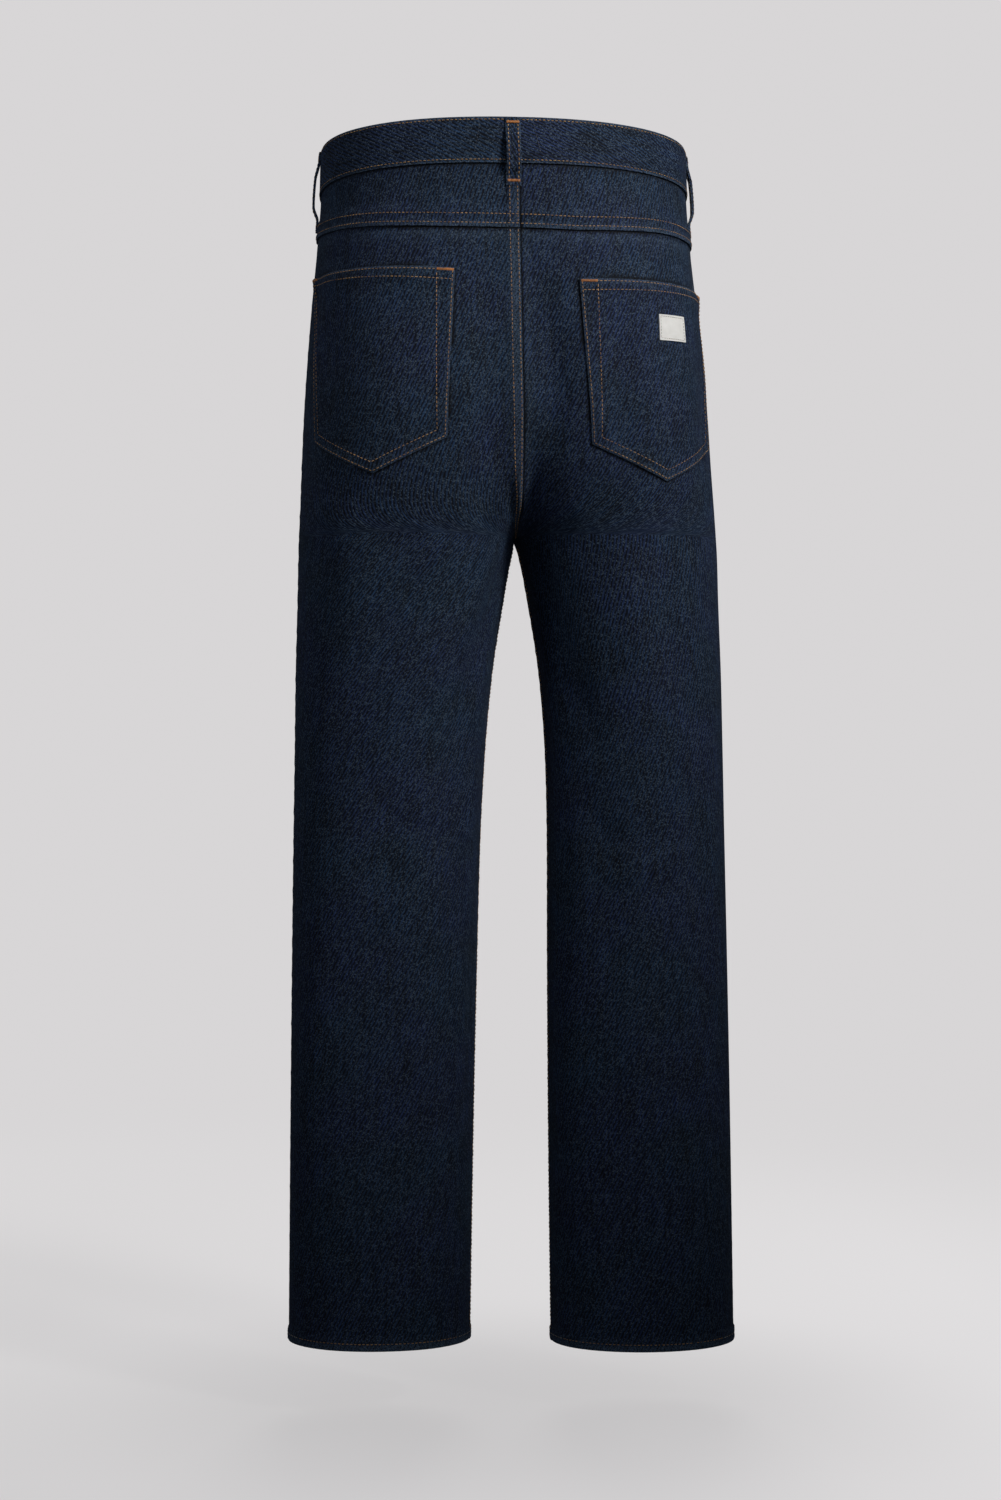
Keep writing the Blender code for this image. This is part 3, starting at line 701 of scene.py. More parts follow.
def shell(name, outer, inner, cut, seam, faces_out=None, faces_in=None):
    rows, cols = outer.shape[:2]
    count = rows * cols
    index = np.arange(count).reshape(rows, cols)
    quads = np.stack([index[:-1, :-1], index[:-1, 1:], index[1:, 1:], index[1:, :-1]],
                     -1).reshape(-1, 4)
    facing = np.cross(outer[:-1, 1:] - outer[:-1, :-1], outer[1:, :-1] - outer[:-1, :-1])
    turned = (facing * (outer - inner)[:-1, :-1]).sum() < 0
    ring = np.concatenate([index[0], index[1:, -1], index[-1, -2::-1],
                           index[-2:0:-1, 0]])
    ahead = np.roll(ring, -1)
    rim = np.stack([ahead, ring, ring + count, ahead + count], -1)
    if turned:
        quads, rim = quads[:, ::-1], rim[:, ::-1]
    faces = np.concatenate([quads, quads[:, ::-1] + count, rim])
    verts = np.concatenate([outer.reshape(-1, 3), inner.reshape(-1, 3)])
    mesh = bpy.data.meshes.new(name)
    mesh.from_pydata(verts.tolist(), [], faces.tolist())
    uv = mesh.uv_layers.new(name="cut")
    flat = np.concatenate([cut.reshape(-1, 2)] * 2)
    uv.data.foreach_set("uv", flat[faces.ravel()].astype(np.float32).ravel())
    # The seam attribute holds real wear where positive and painted shade where negative.
    mark = mesh.attributes.new("seam", "FLOAT", "POINT")
    wear_and_shade_marks = np.broadcast_to(seam, (rows, cols)).ravel().astype(np.float32)
    mark.data.foreach_set("value", np.concatenate([wear_and_shade_marks, wear_and_shade_marks]))
    mesh.materials.append(faces_out or denim)
    mesh.materials.append(faces_in or denim_back)
    slots = np.zeros(len(faces), dtype=np.int32)
    slots[len(quads):2 * len(quads)] = 1
    mesh.polygons.foreach_set("material_index", slots)
    made = put_in_scene(name, mesh)
    bpy.ops.object.shade_smooth_by_angle(angle=SMOOTH_UP_TO)
    made.select_set(False)
    return made


def flat_area(made):
    """Half the area of a closed shell, in square metres."""
    sizes = np.zeros(len(made.data.polygons))
    made.data.polygons.foreach_get("area", sizes)
    return float(sizes.sum() / 2)


def dress(made, solid, wide, long):
    """Attach the piece to the root, hide its solid and print what its cut measures."""
    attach(made, "root")
    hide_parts(solid)
    area = round(min(flat_area(made) / PUCKERED, wide * long), 6)
    print(made.name, len(made.data.polygons) * 2, "triangles", area, "m2")


def ripple(along, pitch, phase):
    """Uneven puckers, -1 to 1, from three waves that never agree for long."""
    turn = 2 * math.pi * np.asarray(along, float)
    return (0.5 * np.sin(turn / pitch + phase) + 0.3 * np.sin(turn / pitch / 1.63 + 2 * phase)
            + 0.3 * np.sin(turn / pitch * 1.71 + 5 * phase))


def near(value, middle, width):
    """1 at the middle, dying away softly over the width."""
    return np.exp(-((value - middle) / width)**2)

# %% [markdown]
# ## Lines of the pattern
#
# The sizes below are those of the cutting pattern: the yoke seam, the back pockets,
# the waistband and the laps at the seams.  A yoke in jeans takes the place of darts:
# it shapes the hollow of the back.  It is sewn as a lapped seam, its folded edge on
# top of the panel below, with two rows of stitching through all the plies.

# %% Pattern sizes
BAND_LOW, BAND_MIDDLE = -40.0, -20.0
BAND_OUT = 1.9
BAND_THICK = 3.8
BAND_LAP, LAP_LIFT, LAP_EASE = 22.0, 1.55, 62.0
YOKE = ((0.0, -93.5), (60.0, -93.5), (100.0, -91.5), (145.0, -88.0),
        (190.0, -84.5), (250.0, -78.0))
POCKETS = {
    1: {"top_in": (54.5, -130.0), "top_out": (222.0, -123.0),
        "low_in": (66.0, -273.0), "low_out": (202.0, -273.0), "tip": (134.0, -304.0)},
    -1: {"top_in": (54.5, -137.5), "top_out": (221.0, -134.0),
         "low_in": (64.5, -278.0), "low_out": (206.0, -277.0), "tip": (136.0, -308.5)},
}
SEAT_LAP = 3.2
SCOOP_FROM, SCOOP_DEEP = 0.52, 76.0
FLY_LOW, FLY_WIDE = -205.0, 38.0
FAN = ((-115.0, -115.0), (-142.0, -139.0), (-168.0, -163.0), (-193.0, -187.0),
       (-216.0, -210.0), (-238.0, -232.0), (-258.0, -254.0), (-276.0, -275.0),
       (-292.0, -296.0), (-306.0, -316.0), (-318.0, -335.0), (-328.0, -353.0),
       (-336.5, -370.0), (-343.5, -386.0), (-348.8, -401.0), (-352.6, -415.0),
       (-355.0, -429.0), (-362.0, -445.0), (-374.0, -462.0), (-392.0, -482.0),
       (-416.0, -506.0), (-448.0, -534.0), (-488.0, -568.0), (-534.0, -608.0),
       (-590.0, -655.0), (-655.0, -710.0), (-730.0, -775.0), (-815.0, -847.0),
       (-905.0, -922.0), (-990.0, -996.0))


def yoke_level(sign, distance):
    near_d, low = np.array(YOKE).T
    level = np.interp(distance, near_d, low)
    if sign < 0:
        level = level - 1.5 * ease(0, 60, distance) - 4.5 * ease(120, 245, distance)
    return level


def lap(level):
    """How far the left half passes the middle over the right, at the rise seam."""
    return SEAT_LAP * ease(-352.0, -318.0, level)


SEAM_SHARES = (0, 0.004, 0.008, 0.013, 0.019, 0.026, 0.034, 0.043)
TOP_SHARES = (0, 0.03, 0.08, 0.2, 0.35, 0.5, 0.66, 0.83)
HEM_ROWS = (14, 12.4, 11.2, 10.4, 9.6, 8.6, 7.4, 6.0, 4.6, 3.2, 2.0, 1.1, 0.4, 0)


def steps_across(count):
    """Shares from one seam to the other, closer together at both."""
    close = np.array(SEAM_SHARES)
    return np.concatenate([close, np.linspace(0.055, 0.945, count), 1 - close[::-1]])


def leg_levels(top, hem, share, step):
    """Rows down a leg, fanned so that they crowd at the crotch like a fork."""
    rise, out = np.array(FAN).T
    weight = share**1.4
    rows = [top + (FAN[0][0] - top) * k for k in TOP_SHARES]
    for level in np.arange(out[0], out[-1], -step):
        rows.append(np.interp(-level, -out, rise) * (1 - weight) + level * weight)
    for level in np.arange(out[-1], hem + 16, -step):
        rows.append(np.full(share.shape, level))
    for over_hem in HEM_ROWS:
        rows.append(np.full(share.shape, hem + over_hem))
    return np.array(rows)


def pocket_outline(sign):
    p = POCKETS[sign]
    return [p["top_in"], p["top_out"], p["low_out"], p["tip"], p["low_in"]]


def gap_to_edge(distance, level, start, stop):
    """How far a point lies inside one straight edge of the pocket."""
    run = np.array(stop) - np.array(start)
    size = math.hypot(*run)
    return ((distance - start[0]) * run[1] - (level - start[1]) * run[0]) / size


def pocket_gaps(sign, distance, level):
    corners = pocket_outline(sign)
    return np.array([gap_to_edge(distance, level, start, stop)
                     for start, stop in zip(corners, corners[1:] + corners[:1])])


print("yoke at the side", yoke_level(1, 240.0), yoke_level(-1, 240.0))

# %% [markdown]
# ## Relief of the seams
#
# Denim is thick, so every seam is a small step: folded edges stand a ply or two
# higher, the cloth between two rows of stitching is drawn flat, and beside them it
# puckers because the thread shrinks less than the cotton.  At the hem the fold is
# twisted a little by the feed of the machine, which gives the slanting ropes that
# show on every worn pair.  Each function gives the lift of a piece over the form.

# %% Lift of each panel


def rise_fold(level):
    return ease(-352.0, -322.0, level)


def hem_lift(sign, level, distance):
    over = level - HEM[sign]
    folded = ease(12.2, 9.8, over)
    rope = np.sin(2 * math.pi * (distance + 0.9 * over) / 8.3 + ripple(distance, 37.0, sign))
    rope = rope * near(over, 5.0, 5.0) * (0.30 + 0.16 * ripple(distance, 61.0, 2.1))
    pulled = 0.22 * ripple(distance, 13.0, 1.3 + sign) * near(over, 14.0, 6.0)
    return folded * 0.95 + rope + pulled - 0.35 * near(over, 6.4, 0.9) - 0.5 * near(over, 0, 0.6)


def side_seams(sign, level, distance, back):
    """Pressed seams of the leg: a low ridge each side of a fine groove."""
    from_out = outer_seam(sign, level, back) - distance
    from_in = distance - inner_seam(sign, level, back)
    below = ease(CROTCH + 2, CROTCH - 14, level)
    lift = 0.45 * near(from_out, 5.0, 4.0) - 0.45 * near(from_out, 0.0, 1.6)
    lift = lift + 0.30 * ripple(level, 15.0, 0.7 + sign + back) * near(from_out, 7.0, 7.0)
    stitched = 0.75 * ease(10.5, 8.5, from_in) - 0.5 * near(from_in, 0.0, 1.2)
    stitched = stitched + 0.26 * ripple(level, 12.0, 2.7 + sign) * near(from_in, 8.0, 8.0)
    return lift + below * stitched


def back_lift(sign, level, distance):
    strong = rise_fold(level)
    lift = side_seams(sign, level, distance, True) + hem_lift(sign, level, distance)
    if sign > 0:
        fold = distance + lap(level)
        lift = lift + strong * (1.7 * ease(13.5, 10.0, fold) - 0.35 * near(fold, 0.0, 0.9))
        lift = lift + strong * 0.28 * ripple(level, 11.0, 0.4) * near(fold, 13.0, 6.0)
    else:
        lift = lift - 0.35 * strong * ease(6.0, 2.0, distance)
        lift = lift + strong * 0.34 * ripple(level, 12.5, 1.9) * near(distance, 7.0, 6.0)
    below = yoke_level(sign, np.abs(distance)) - level
    lift = lift + 0.30 * ripple(distance, 12.5, 0.9 + sign) * near(below, 7.0, 7.0)
    return lift - 0.7 * ease(2.5, 0.0, below)


def yoke_lift(sign, level, distance):
    over = level - yoke_level(sign, np.abs(distance))
    folded = 0.35 + 1.6 * ease(14.5, 11.5, over) - 0.35 * near(over, -2.0, 0.8)
    folded = folded + 0.26 * ripple(distance, 11.5, 2.2 + sign) * near(over, 15.0, 7.0)
    folded = folded - 0.14 * near(over, 4.8, 2.6)
    if sign > 0:
        fold = distance + SEAT_LAP
        seat = 1.7 * ease(13.5, 10.0, fold) - 0.3 * near(fold, 0.0, 0.9)
        folded = np.maximum(folded, seat) + 0.35 * np.minimum(folded, np.maximum(seat, 0))
    else:
        folded = folded * ease(-1.0, 9.0, distance) - 0.2 * ease(5.0, 1.0, distance)
    under_band = BAND_LOW - level
    folded = folded + 0.3 * ripple(distance, 12.0, 3.1 - sign) * near(under_band, 7.0, 7.0)
    from_out = outer_seam(sign, level) - distance
    folded = folded + 0.5 * near(from_out, 5.0, 4.0) - 0.4 * near(from_out, 0.0, 1.6)
    return folded - 0.9 * ease(2.0, -1.0, under_band)


def scoop_level(share):
    """Top edge of the front: straight at the fly, scooped at the pocket."""
    past = np.clip((share - SCOOP_FROM) / (1 - SCOOP_FROM), 0, 1)
    return BAND_LOW + 2.0 - (SCOOP_DEEP + 2.0) * np.sqrt(1 - (1 - past)**2)


def front_lift(sign, level, distance):
    width = outer_seam(sign, level, False)
    share = distance / width
    strong = rise_fold(level)
    lift = side_seams(sign, level, distance, False) + hem_lift(sign, level, distance)
    past = ease(SCOOP_FROM, SCOOP_FROM + 0.05, share)
    below = scoop_level(share) - level
    lift = lift + past * (0.9 * ease(15.0, 12.0, below) - 0.3 * near(below, 0.0, 0.9)
                          + 0.22 * ripple(distance, 12.0, sign) * near(below, 15.0, 6.0))
    if sign > 0:
        fold = distance + lap(level)
        high = 1.7 * ease(-214.0, -200.0, level) + 1.25 * ease(-200.0, -214.0, level)
        fly = ease(FLY_LOW - 14, FLY_LOW + 6, level) * 0.55 * ease(43.0, 39.0, distance)
        lift = lift + strong * high * ease(13.0, 10.0, fold) * 0.8 + fly
    else:
        lift = lift - 0.4 * strong * ease(6.0, 2.0, distance)
    lift = lift + strong * 0.28 * ripple(level, 11.0, 1.4 + sign) * near(distance, 12.0, 7.0)
    under_band = BAND_LOW - level
    return lift - 0.9 * ease(2.0, -1.0, under_band) * (1 - past)


print("lifts at the hips", np.round(back_lift(1, -200.0, np.array([-3.0, 4.0, 60.0])), 2))

# %% [markdown]
# ## Back and front panels
#
# The back panel is the biggest piece of cloth in a pair of jeans, from the yoke to
# the hem.  It starts a little under the yoke's folded edge.  At the seat the left
# half is folded over the right, so its grid passes the middle.  Rows are 3.7 mm
# apart, which is fine enough for the folds and the puckers; the relief of the
# yarns themselves comes from the material's bump.

# %% Cut the panels
ROW_STEP = 3.7
UNDER_YOKE = 1.6
HEM_THICKER = 1.7


def seam_wear_and_painted_shade(sign, level, distance, back, top_gap):
    from_out = outer_seam(sign, level, back) - distance
    from_in = distance - inner_seam(sign, level, back)
    over_hem = level - HEM[sign]
    wear_and_shade_marks = np.maximum(0.9 * near(from_out, 3.0, 5.0), 0.8 * near(from_in, 3.0, 6.0))
    wear_and_shade_marks = np.maximum(wear_and_shade_marks, 1.0 * near(over_hem, 2.0, 5.0))
    wear_and_shade_marks = np.clip(np.maximum(wear_and_shade_marks, 0.5 * near(top_gap, 7.0, 5.0)), 0, 1)
    # Painted shade: darker just under the folded edge above, the yoke's on the back and the
    # band's on the front.
    painted_shade_beside_edges = ease(4.8, 2.4, top_gap) if back else 0.9 * ease(1.0, 0.0, top_gap)
    seat = rise_fold(level)
    if sign > 0:
        wear_and_shade_marks = np.maximum(wear_and_shade_marks, seat * near(distance + lap(level), 1.0, 3.5))
    else:
        # Painted shade on the right half beside the left half's lapped edge.
        painted_shade_beside_edges = np.maximum(painted_shade_beside_edges, seat * ease(SEAT_LAP + 3.4, SEAT_LAP + 1.0, distance))
    if back:
        # Painted shade in a narrow strip round each back pocket's edge.
        beside = -pocket_gaps(sign, distance, level).min(axis=0)
        painted_shade_beside_edges = np.maximum(painted_shade_beside_edges, ease(2.2, 0.6, np.abs(beside)))
    return np.clip(wear_and_shade_marks - 2.0 * painted_shade_beside_edges, -1, 1)


def leg_panel(name, sign, back):
    share = steps_across(62)
    if back:
        top = yoke_level(sign, share * outer_seam(sign, -90.0)) + UNDER_YOKE
    else:
        top = scoop_level(share)
    level = leg_levels(top, HEM[sign], share, ROW_STEP)
    start = np.where(level > CROTCH, -lap(level) if sign > 0 else 0.5 * rise_fold(level),
                     inner_seam(sign, level, back))
    distance = start + (outer_seam(sign, level, back) - start) * share
    if back:
        level[0] = yoke_level(sign, np.abs(distance[0])) + UNDER_YOKE
        lift, gap = back_lift(sign, level, distance), yoke_level(sign, distance) - level
    else:
        lift, gap = front_lift(sign, level, distance), scoop_level(share) - level
    thick = CLOTH + HEM_THICKER * ease(HEM[sign] + 11.5, HEM[sign] + 9.5, level)
    outer, normal = garment(sign, level, distance, back, lift)
    cut = cut_map((-sign if back else sign) * distance, level,
                  [0.31 * sign, 0.17 if back else 0.53])
    wear_and_painted_shade = seam_wear_and_painted_shade(sign, level, distance, back, gap)
    return shell(name, outer, behind(outer, normal, thick), cut, wear_and_painted_shade)


back_left = leg_panel("back_left_denim", 1, True)
back_right = leg_panel("back_right_denim", -1, True)
front_left = leg_panel("front_left_denim", 1, False)
front_right = leg_panel("front_right_denim", -1, False)
dress(back_left, "back_left", 0.300, 1.020)
dress(back_right, "back_right", 0.300, 1.020)
dress(front_left, "front_left", 0.250, 1.060)
dress(front_right, "front_right", 0.250, 1.060)

# %% [markdown]
# ## Yokes
#
# The yoke hangs from the waistband and its lower edge, turned under and pressed,
# laps two millimetres over the back panel.  That edge throws a dark line that marks
# the yoke seam, deepened by painted shade on the panel under it.  Its top is held
# inside the waistband, and painted shade darkens the yoke just under the band.

# %% Cut the yokes


def yoke(name, sign):
    share = steps_across(66)
    start = -SEAT_LAP if sign > 0 else 1.0
    around = outer_seam(sign, -84.0)
    low = yoke_level(sign, np.abs(start + (around - start) * share)) - 2.2
    top = BAND_LOW + 2.5
    down = np.concatenate([np.linspace(0, 0.74, 13), np.linspace(0.78, 0.97, 9),
                           [0.982, 0.993, 1.0]])
    level = top + (low - top) * down[:, None]
    distance = start + (outer_seam(sign, level) - start) * share
    lift = yoke_lift(sign, level, distance)
    outer, normal = garment(sign, level, distance, True, lift)
    over = level - low
    wear_and_painted_shade = np.maximum(0.9 * near(over, 1.0, 3.0), 0.5 * near(distance - start, 1.0, 4.0))
    # Painted shade on the yoke just under the waistband, and on the right yoke beside the left
    # one's lapped edge.
    painted_shade_beside_edges = ease(3.2, 1.2, BAND_LOW - level)
    if sign < 0:
        painted_shade_beside_edges = np.maximum(painted_shade_beside_edges, ease(SEAT_LAP + 3.4, SEAT_LAP + 1.0, distance))
    wear_and_painted_shade = np.clip(wear_and_painted_shade - 2.0 * painted_shade_beside_edges, -1, 1)
    cut = cut_map(-sign * distance + 0.12 * over, level, [0.7, 0.9 + sign])
    return shell(name, outer, behind(outer, normal, CLOTH), cut, wear_and_painted_shade)


yoke_left = yoke("yoke_left_denim", 1)
yoke_right = yoke("yoke_right_denim", -1)
dress(yoke_left, "yoke_left", 0.265, 0.068)
dress(yoke_right, "yoke_right", 0.265, 0.068)

# %% [markdown]
# ## Back pockets
#
# A patch pocket is a five-sided shield.  Its edges are turned under, so a narrow
# border stands one ply higher, and its top is hemmed wider.  The fullest part of
# the top gapes a little away from the seat.

# %% Cut the back pockets
POCKET_BASE = 1.5


def pocket_lift(sign, level, distance):
    gaps = np.maximum(pocket_gaps(sign, distance, level), 0)
    border = gaps[1:].min(axis=0)
    top = gaps[0]
    lift = POCKET_BASE + 0.55 * ease(9.5, 7.5, border) + 0.5 * ease(15.0, 13.0, top)
    lift = lift + 0.2 * ripple(distance + level, 12.0, 2.0 + sign) * near(border, 11.0, 5.0)
    lift = lift + 0.25 * ripple(distance, 14.0, 0.5 + sign) * near(top, 16.0, 6.0)
    along = ease(0, 50, border)
    lift = lift + 1.1 * near(top, 0.0, 34.0) * along
    corner = np.hypot(distance - POCKETS[sign]["top_out"][0],
                      level - POCKETS[sign]["top_out"][1])
    lift = lift + 1.5 * near(corner, 0.0, 14.0)
    return lift - 0.5 * near(np.minimum(border, top), 0.0, 0.7)


def pocket_point(sign, across, down):
    """Distance and level of a point of the shield, both shares from 0 to 1."""
    p = {key: np.array(value) for key, value in POCKETS[sign].items()}
    across, down = across[..., None], down[..., None]
    top = p["top_in"] * (1 - across) + p["top_out"] * across
    low = np.where(across <= 0.5, p["low_in"] * (1 - 2 * across) + p["tip"] * 2 * across,
                   p["tip"] * (2 - 2 * across) + p["low_out"] * (2 * across - 1))
    return np.moveaxis(top * (1 - down) + low * down, -1, 0)


def back_pocket(name, sign):
    first, last = [0, 0.006, 0.014], [0.986, 0.994, 1]
    across, down = np.meshgrid(
        *(np.concatenate([first, np.linspace(0.025, 0.975, count), last])
          for count in (71, 66)))
    distance, level = pocket_point(sign, across, down)
    lift = pocket_lift(sign, level, distance)
    thick = np.minimum(lift - 0.15, 1.9)
    outer, normal = garment(sign, level, distance, True, lift)
    cut = cut_map(-sign * distance, level, [1.3, 0.4 * sign])
    gaps = np.maximum(pocket_gaps(sign, distance, level), 0)
    wear_and_painted_shade = 0.8 * near(gaps.min(axis=0), 0.5, 2.6)
    return shell(name, outer, behind(outer, normal, thick), cut, wear_and_painted_shade)


pocket_left = back_pocket("back_pocket_left_denim", 1)
pocket_right = back_pocket("back_pocket_right_denim", -1)
dress(pocket_left, "back_pocket_left", 0.190, 0.205)
dress(pocket_right, "back_pocket_right", 0.190, 0.205)
print("gaps at the pocket's middle", pocket_gaps(1, 134.0, -210.0).round(1))

# %% [markdown]
# ## Label and front facings
#
# The label on the right back pocket is a small tape of white woven cotton, bare,
# sewn down close to its edges, a little askew.  The facings are the denim that shows
# in the scoops of the front pockets.  They run on a little past the side seams, so
# that nothing gapes there.  The shield lies behind the fly opening.

# %% Cut the small pieces
LABEL = {"near": 128.0, "far": 159.5, "top": -163.5, "low": -185.5}
LABEL_INSET, LABEL_ASKEW = 1.7, 0.6


def small_patch(name, sign, back, level, distance, lift, thick, faces_out=None,
                faces_in=None):
    outer, normal = garment(sign, level, distance, back, lift)
    cut = cut_map((-sign if back else sign) * distance, level, [2.1, 0.3])
    return shell(name, outer, behind(outer, normal, thick), cut, 0.0, faces_out, faces_in)


def tape_label():
    down, across = np.meshgrid(np.linspace(0, 1, 23), np.linspace(0, 1, 33), indexing="ij")
    wide, high = LABEL["far"] - LABEL["near"], LABEL["top"] - LABEL["low"]
    level = LABEL["top"] - high * down + LABEL_ASKEW * (across - 0.5)
    distance = LABEL["near"] + wide * across
    rim = np.minimum(np.minimum(down, 1 - down) * high, np.minimum(across, 1 - across) * wide)
    lift = pocket_lift(-1, level, distance) + 1.05 - 0.35 * near(rim, LABEL_INSET, 0.9)
    lift = lift + 0.22 * ripple(distance + 0.6 * level, 13.0, 0.8) * ease(0, 4, rim)
    return small_patch("pocket_label_tape", -1, True, level, distance, lift, 0.85,
                       white_tape, white_tape)


def front_facing(name, sign):
    down, share = np.meshgrid(np.linspace(0, 1, 34),
                              np.linspace(SCOOP_FROM - 0.10, 1.035, 40), indexing="ij")
    level = BAND_LOW + 1.0 + (-SCOOP_DEEP - 16.0) * down
    distance = outer_seam(sign, level, False) * share
    lift = -2.0 + 0.25 * ripple(distance + level, 26.0, sign)
    return small_patch(name, sign, False, level, distance, lift, 1.0)


def shield_behind_fly():
    down, reach = np.meshgrid(np.linspace(0, 1, 46), np.linspace(-36.0, 14.0, 22),
                              indexing="ij")
    level = BAND_LOW + 1.0 + (FLY_LOW - BAND_LOW) * down
    return small_patch("fly_shield_denim", -1, False, level, -reach, -2.2, 1.3)


label = tape_label()
dress(label, "pocket_label", 0.0315, 0.022)
facing_left = front_facing("pocket_facing_left_denim", 1)
facing_right = front_facing("pocket_facing_right_denim", -1)
dress(facing_left, "pocket_facing_left", 0.125, 0.094)
dress(facing_right, "pocket_facing_right", 0.125, 0.094)
shield = shield_behind_fly()
dress(shield, "fly_shield", 0.052, 0.170)

# %% [markdown]
# ## Waistband
#
# The waistband is one long strip folded over the raw tops of the panels, so it is
# the thickest part.  It runs from the button end at the front, round the right
# side, the back and the left side, and laps over itself at the front by 22 mm.
# Its place is measured along the ring from the centre back.

# %% Ring of the waistband
BAND_EDGE = -40.8


def ring_table():
    back = float(middle_angle(BAND_MIDDLE, True))
    front = float(middle_angle(BAND_MIDDLE, False)) - 360
    angles = np.linspace(back, front, 900)
    x, y = section_point(BAND_MIDDLE, angles)
    run = np.concatenate([[0], np.cumsum(np.hypot(np.diff(x), np.diff(y)))])
    return run, angles


RING_RUN, RING_ANGLE = ring_table()
HALF_RING = float(RING_RUN[-1])


def ring(along, level, lift):
    """A point of the ring; along is 0 at centre back and positive on the left."""
    along, level, lift = same_shape(along, level, lift)
    past = np.abs(along) > HALF_RING
    half = np.where(past, -np.sign(along), np.where(along >= 0, 1, -1))
    reach = np.where(past, 2 * HALF_RING - np.abs(along), np.abs(along))
    angle = np.interp(reach, RING_RUN, RING_ANGLE)
    place, normal = tube(half, level, angle), outward(half, level, angle)
    to_middle = np.minimum(reach, HALF_RING - reach)
    normal = keep_sideways(normal, ease(0.0, TURN_OVER, to_middle))
    return (place + normal * lift[..., None]) * 0.001, normal


def band_lift(along, level):
    to_end = HALF_RING - np.abs(along)
    part = LAP_LIFT * ease(LAP_EASE, BAND_LAP, to_end) * np.sign(along)
    under = level - BAND_LOW
    body = BAND_OUT + 0.3 * near(level, BAND_MIDDLE, 13.0)
    body = body - 0.6 * near(level, 0.0, 1.0) - 0.35 * near(under, 0.0, 0.7)
    body = body + 0.24 * ripple(along, 11.5, 0.6) * near(under, 7.0, 5.0)
    body = body + 0.20 * ripple(along, 12.5, 2.6) * near(level, -7.0, 5.0)
    body = body + 0.5 * ripple(along, 83.0, 1.1) * near(level, BAND_MIDDLE, 16.0)
    return body + part


def waistband():
    end = HALF_RING + BAND_LAP
    along = np.sort(np.concatenate([np.linspace(-end, -HALF_RING, 9)[:-1],
                                    np.arange(-HALF_RING, end, 2.7), [end - 0.6, end]]))
    levels = np.concatenate([[0.0, -0.5, -1.3, -2.3], np.linspace(-3.6, -36.4, 22),
                             [-37.6, -38.7, -39.6, -40.3, BAND_EDGE]])
    along, level = np.meshgrid(along, levels)
    outer, normal = ring(along, level, band_lift(along, level))
    thick = BAND_THICK - 0.9 * near(level, 0.0, 1.0) - 0.5 * near(level, BAND_EDGE, 0.8)
    cut = cut_map(level, along, [3.3, 0.0])
    wear_and_painted_shade = 0.75 * np.maximum(near(level, 0.0, 2.2), near(level, BAND_EDGE, 2.4))
    return shell("waistband_denim", outer, behind(outer, normal, thick), cut, wear_and_painted_shade)


band = waistband()
dress(band, "waistband", 0.945, 0.041)
print("half ring", round(HALF_RING, 1), "mm")

# %% [markdown]
# ## Belt loops
#
# A belt loop is a strip folded in three and sewn along both edges, then caught at
# its top and bottom by bar tacks.  Between the tacks it stands off the band far
# enough for a belt.  The side ones are longer, so they belly out below the band.

# %% Make the belt loops
LOOPS = (("belt_loop_back", 1, True, 1.5, -61.0),
         ("belt_loop_side_left", 1, True, 232.0, -73.0),
         ("belt_loop_side_right", -1, True, 226.0, -75.0),
         ("belt_loop_front_left", 1, False, 88.0, -66.0),
         ("belt_loop_front_right", -1, False, 88.0, -66.0))
LOOP_THICK, LOOP_TOP = 1.8, -0.5
LOOP_FOLDED_IN = 7
SIDE_LOOPS_FROM, SIDE_LOOP_LEVEL = 100, -30.0
LOOP_RUN = ((0.0, 1.6), (0.11, 1.7), (0.20, 3.0), (0.30, 5.0), (0.44, 5.7),
            (0.60, 6.0), (0.72, 5.5), (0.79, 3.2), (0.84, 1.2), (1.0, 0.9))


def smooth_through(xs, ys, at):
    """A soft curve through a few points, by averaging a fine straight-line one."""
    fine = np.linspace(xs[0], xs[-1], 241)
    straight = np.interp(fine, xs, ys)
    weight = np.hanning(23)
    soft = np.convolve(np.pad(straight, 11, mode="edge"), weight / weight.sum(), "valid")
    return np.interp(at, fine, soft)


def loop_point(sign, back, distance, low, share, side, lift):
    """Points of a loop: share down it, side from its middle line, lift over it."""
    share, side, lift = np.broadcast_arrays(share, side, lift)
    level = LOOP_TOP + (low - LOOP_TOP) * share
    at = level if distance < SIDE_LOOPS_FROM else np.full(level.shape, SIDE_LOOP_LEVEL)
    angle = angle_at(at, np.full(level.shape, distance), back)
    place, normal = tube(sign, level, angle), outward(sign, level, angle)
    run, high = np.array(LOOP_RUN).T
    height = smooth_through(run, high, share) + LOOP_THICK + lift
    across = np.cross(normal, (0.0, 0.0, 1.0))
    across /= np.linalg.norm(across, axis=-1, keepdims=True)
    return (place + across * side[..., None] + normal * height[..., None]) * 0.001, normal


